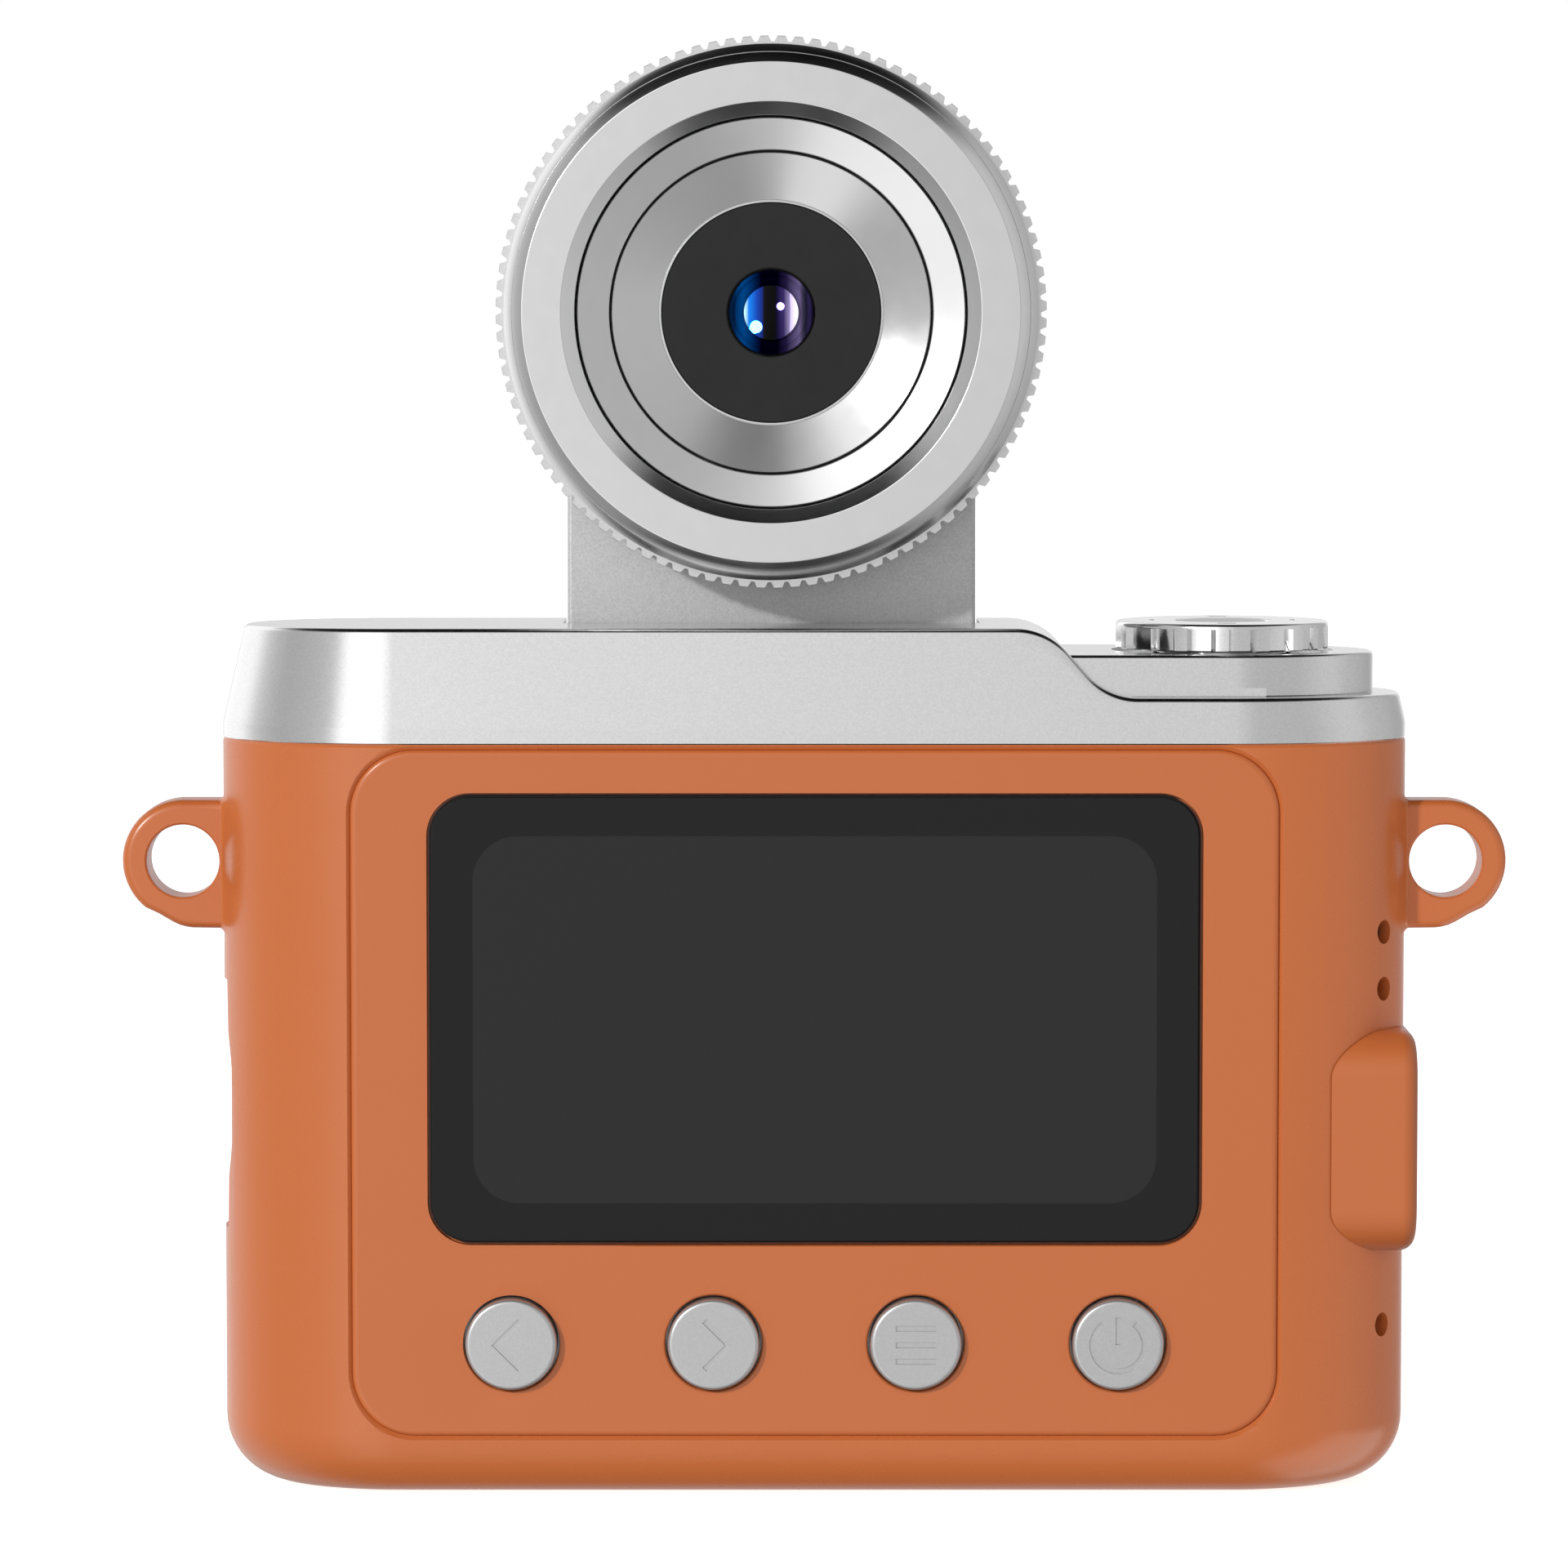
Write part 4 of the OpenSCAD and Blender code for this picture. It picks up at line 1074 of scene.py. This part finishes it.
def build_screen():
    """Cover glass with a narrow step round its front and an eased edge."""
    lo, hi = glass_lo, glass_hi
    w, h, r, edge, step = hi.x - lo.x, hi.z - lo.z, 3.2, 0.12, 0.13
    levels = [(0.0, hi.y), (0.0, lo.y + 0.35), (step, lo.y + 0.35), (step, lo.y + edge),
              (step + edge * 0.3, lo.y + edge * 0.3), (step + edge, lo.y)]
    glass = stack("screen_glass", [
        (rounded_outline(w - 2 * inset, h - 2 * inset, r - inset, 14, 0, SCREEN_Z), y)
        for inset, y in levels])
    finish(glass, "screen_glass", "body", "screen_glass", sharp=50)


casing = build_body()
build_rear_cover()
top_shell = build_top_cover()
build_dial_deck()
build_mode_dial()
build_shutter()
for button_name in BUTTONS:
    build_button(button_name)
build_arm()
build_barrel()
build_bezel()
build_trim_rings()
front_glass = build_front_lens()
build_grip_ring()
build_port_cover()
build_screen()

slots = {part["node"]: part["material_slot"] for part in frame["record"]["subparts"]}
for node_name, node in frame["nodes"].items():
    node.data.materials.clear()
    node.data.materials.append(materials[slots[node_name]])
    shade(node, 35)

# ---- studio

camera_data = bpy.data.cameras.new("camera")
camera_data.sensor_width = 36
camera_data.lens = 152.4375
camera_data.clip_end = 20
camera = bpy.data.objects.new("camera", camera_data)
camera.location = Vector((-2.4, -527.3, 92.9)) * MM
camera.rotation_euler = (math.radians(90 - 4.05), 0, 0)
scene.collection.objects.link(camera)
scene.camera = camera
scene.view_settings.view_transform = "Standard"


def build_world():
    """A white studio to the camera; reflections see levels that change round the horizon and with height."""
    world = bpy.data.worlds.new("studio")
    scene.world = world
    world.use_nodes = True
    world.node_tree.nodes.clear()
    g = Graph(world.node_tree)

    def at(degrees):
        """Place on the round ramp; azimuth is counted from the camera, left negative."""
        return 0.5 + degrees / 360

    def high(degrees):
        """Place on the height ramp of an elevation."""
        return 0.5 + 0.5 * math.sin(math.radians(degrees))

    def levels(factor, stops):
        return g.ramp(factor, [(place, (level,) * 3) for place, level in stops])

    split = g.add("ShaderNodeSeparateXYZ", {0: g.add("ShaderNodeTexCoord").outputs["Generated"]})
    turn = g.math("ARCTAN2", split.outputs["X"], g.math("MULTIPLY", split.outputs["Y"], -1))
    back, rim, dim, box = 0.8, 1.2, 0.56, 1.4
    around = levels(g.math("MULTIPLY_ADD", turn, 1 / TAU, 0.5), [
        (0.0, back), (at(-166), back), (at(-158), rim), (at(-117), rim), (at(-109), 1.07), (at(-98), 0.74),
        (at(-86), 0.57), (at(-73), 0.48), (at(-50), dim), (at(-39), dim + 0.1), (at(-31), box), (at(-9), box),
        (at(-5), 0.92), (at(1), 0.8), (at(14), dim + 0.02), (at(44), dim), (at(66), 0.7), (at(79), 0.7),
        (at(92), 0.6), (at(118), 0.53), (at(131), 0.47), (at(147), 0.48), (at(160), 0.9), (at(168), 0.95),
        (1.0, back)])
    upward = levels(g.math("MULTIPLY_ADD", split.outputs["Z"], 0.5, 0.5), [
        (0.0, 0.04), (high(-66), 0.12), (high(-50), 0.7), (high(-12), 0.95), (high(-6), 1.0), (high(38), 1.0),
        (high(54), 0.02), (1.0, 0.005)])
    reflected = g.mix(1.0, around, upward, blend_type="MULTIPLY")
    to_camera = g.add("ShaderNodeLightPath").outputs["Is Camera Ray"]
    background = g.add("ShaderNodeBackground", {"Color": g.mix(to_camera, reflected, (1, 1, 1, 1))})
    g.add("ShaderNodeOutputWorld", {"Surface": background.outputs[0]})


def build_floor():
    """Pale floor that only the camera sees, so that it casts no colour on the part."""
    mesh = bpy.data.meshes.new("floor")
    mesh.from_pydata([(-3, -3, 0), (3, -3, 0), (3, 3, 0), (-3, 3, 0)], [], [(0, 1, 2, 3)])
    floor = bpy.data.objects.new("floor", mesh)
    scene.collection.objects.link(floor)
    paint = Surface("floor")
    paint.link(paint.mix(paint.noise(4), (0.90, 0.90, 0.90, 1), (0.93, 0.93, 0.93, 1)), "Base Color")
    paint.set(Roughness=0.7, Emission_Color=(1, 1, 1, 1), Emission_Strength=0.8)
    mesh.materials.append(paint.material)
    floor.visible_diffuse = False
    floor.visible_glossy = False


def softbox(name, azimuth, elevation, distance, size, power, target=LENS_MIDDLE, shape="RECTANGLE"):
    """An area light aimed at a target; azimuth is counted from the camera, left negative."""
    light = bpy.data.lights.new(name, "AREA")
    light.shape = shape
    light.size, light.size_y = size
    light.energy = power
    lamp = bpy.data.objects.new(name, light)
    a, e = math.radians(azimuth), math.radians(elevation)
    away = Vector((math.sin(a) * math.cos(e), -math.cos(a) * math.cos(e), math.sin(e)))
    lamp.location = Vector(target) + away * distance
    lamp.rotation_euler = (-away).to_track_quat("-Z", "Y").to_euler()
    scene.collection.objects.link(lamp)
    return lamp


def light_group(name, piece, state="INCLUDE"):
    """A collection for light linking that takes in one piece alone, or leaves it out."""
    group = bpy.data.collections.new(name)
    group.objects.link(piece)
    group.collection_objects[0].light_linking.link_state = state
    return group


build_world()
build_floor()

key = softbox("key", -38, 19, 2.5, (0.13, 0.13), 33)
key.light_linking.receiver_collection = light_group("not_by_key", top_shell, "EXCLUDE")
fill = softbox("fill", 90, -45, 1.5, (1.6, 1.6), 10.5, (0, 0, HALF_W / 2 * MM))
body_only = light_group("body_only", casing)
fill.light_linking.receiver_collection = body_only
fill.light_linking.blocker_collection = body_only
lens_only = light_group("lens_only", front_glass)
for lens_light in (softbox("spark_high", 10.3, 7.2, 1.0, (0.15, 0.15), 4.5, shape="DISK"),
                   softbox("spark_low", -17.7, -15.9, 1.0, (0.24, 0.24), 11.4, shape="DISK"),
                   softbox("glow_right", 28, 0, 1.0, (0.22, 0.85), 0.4)):
    lens_light.light_linking.receiver_collection = lens_only
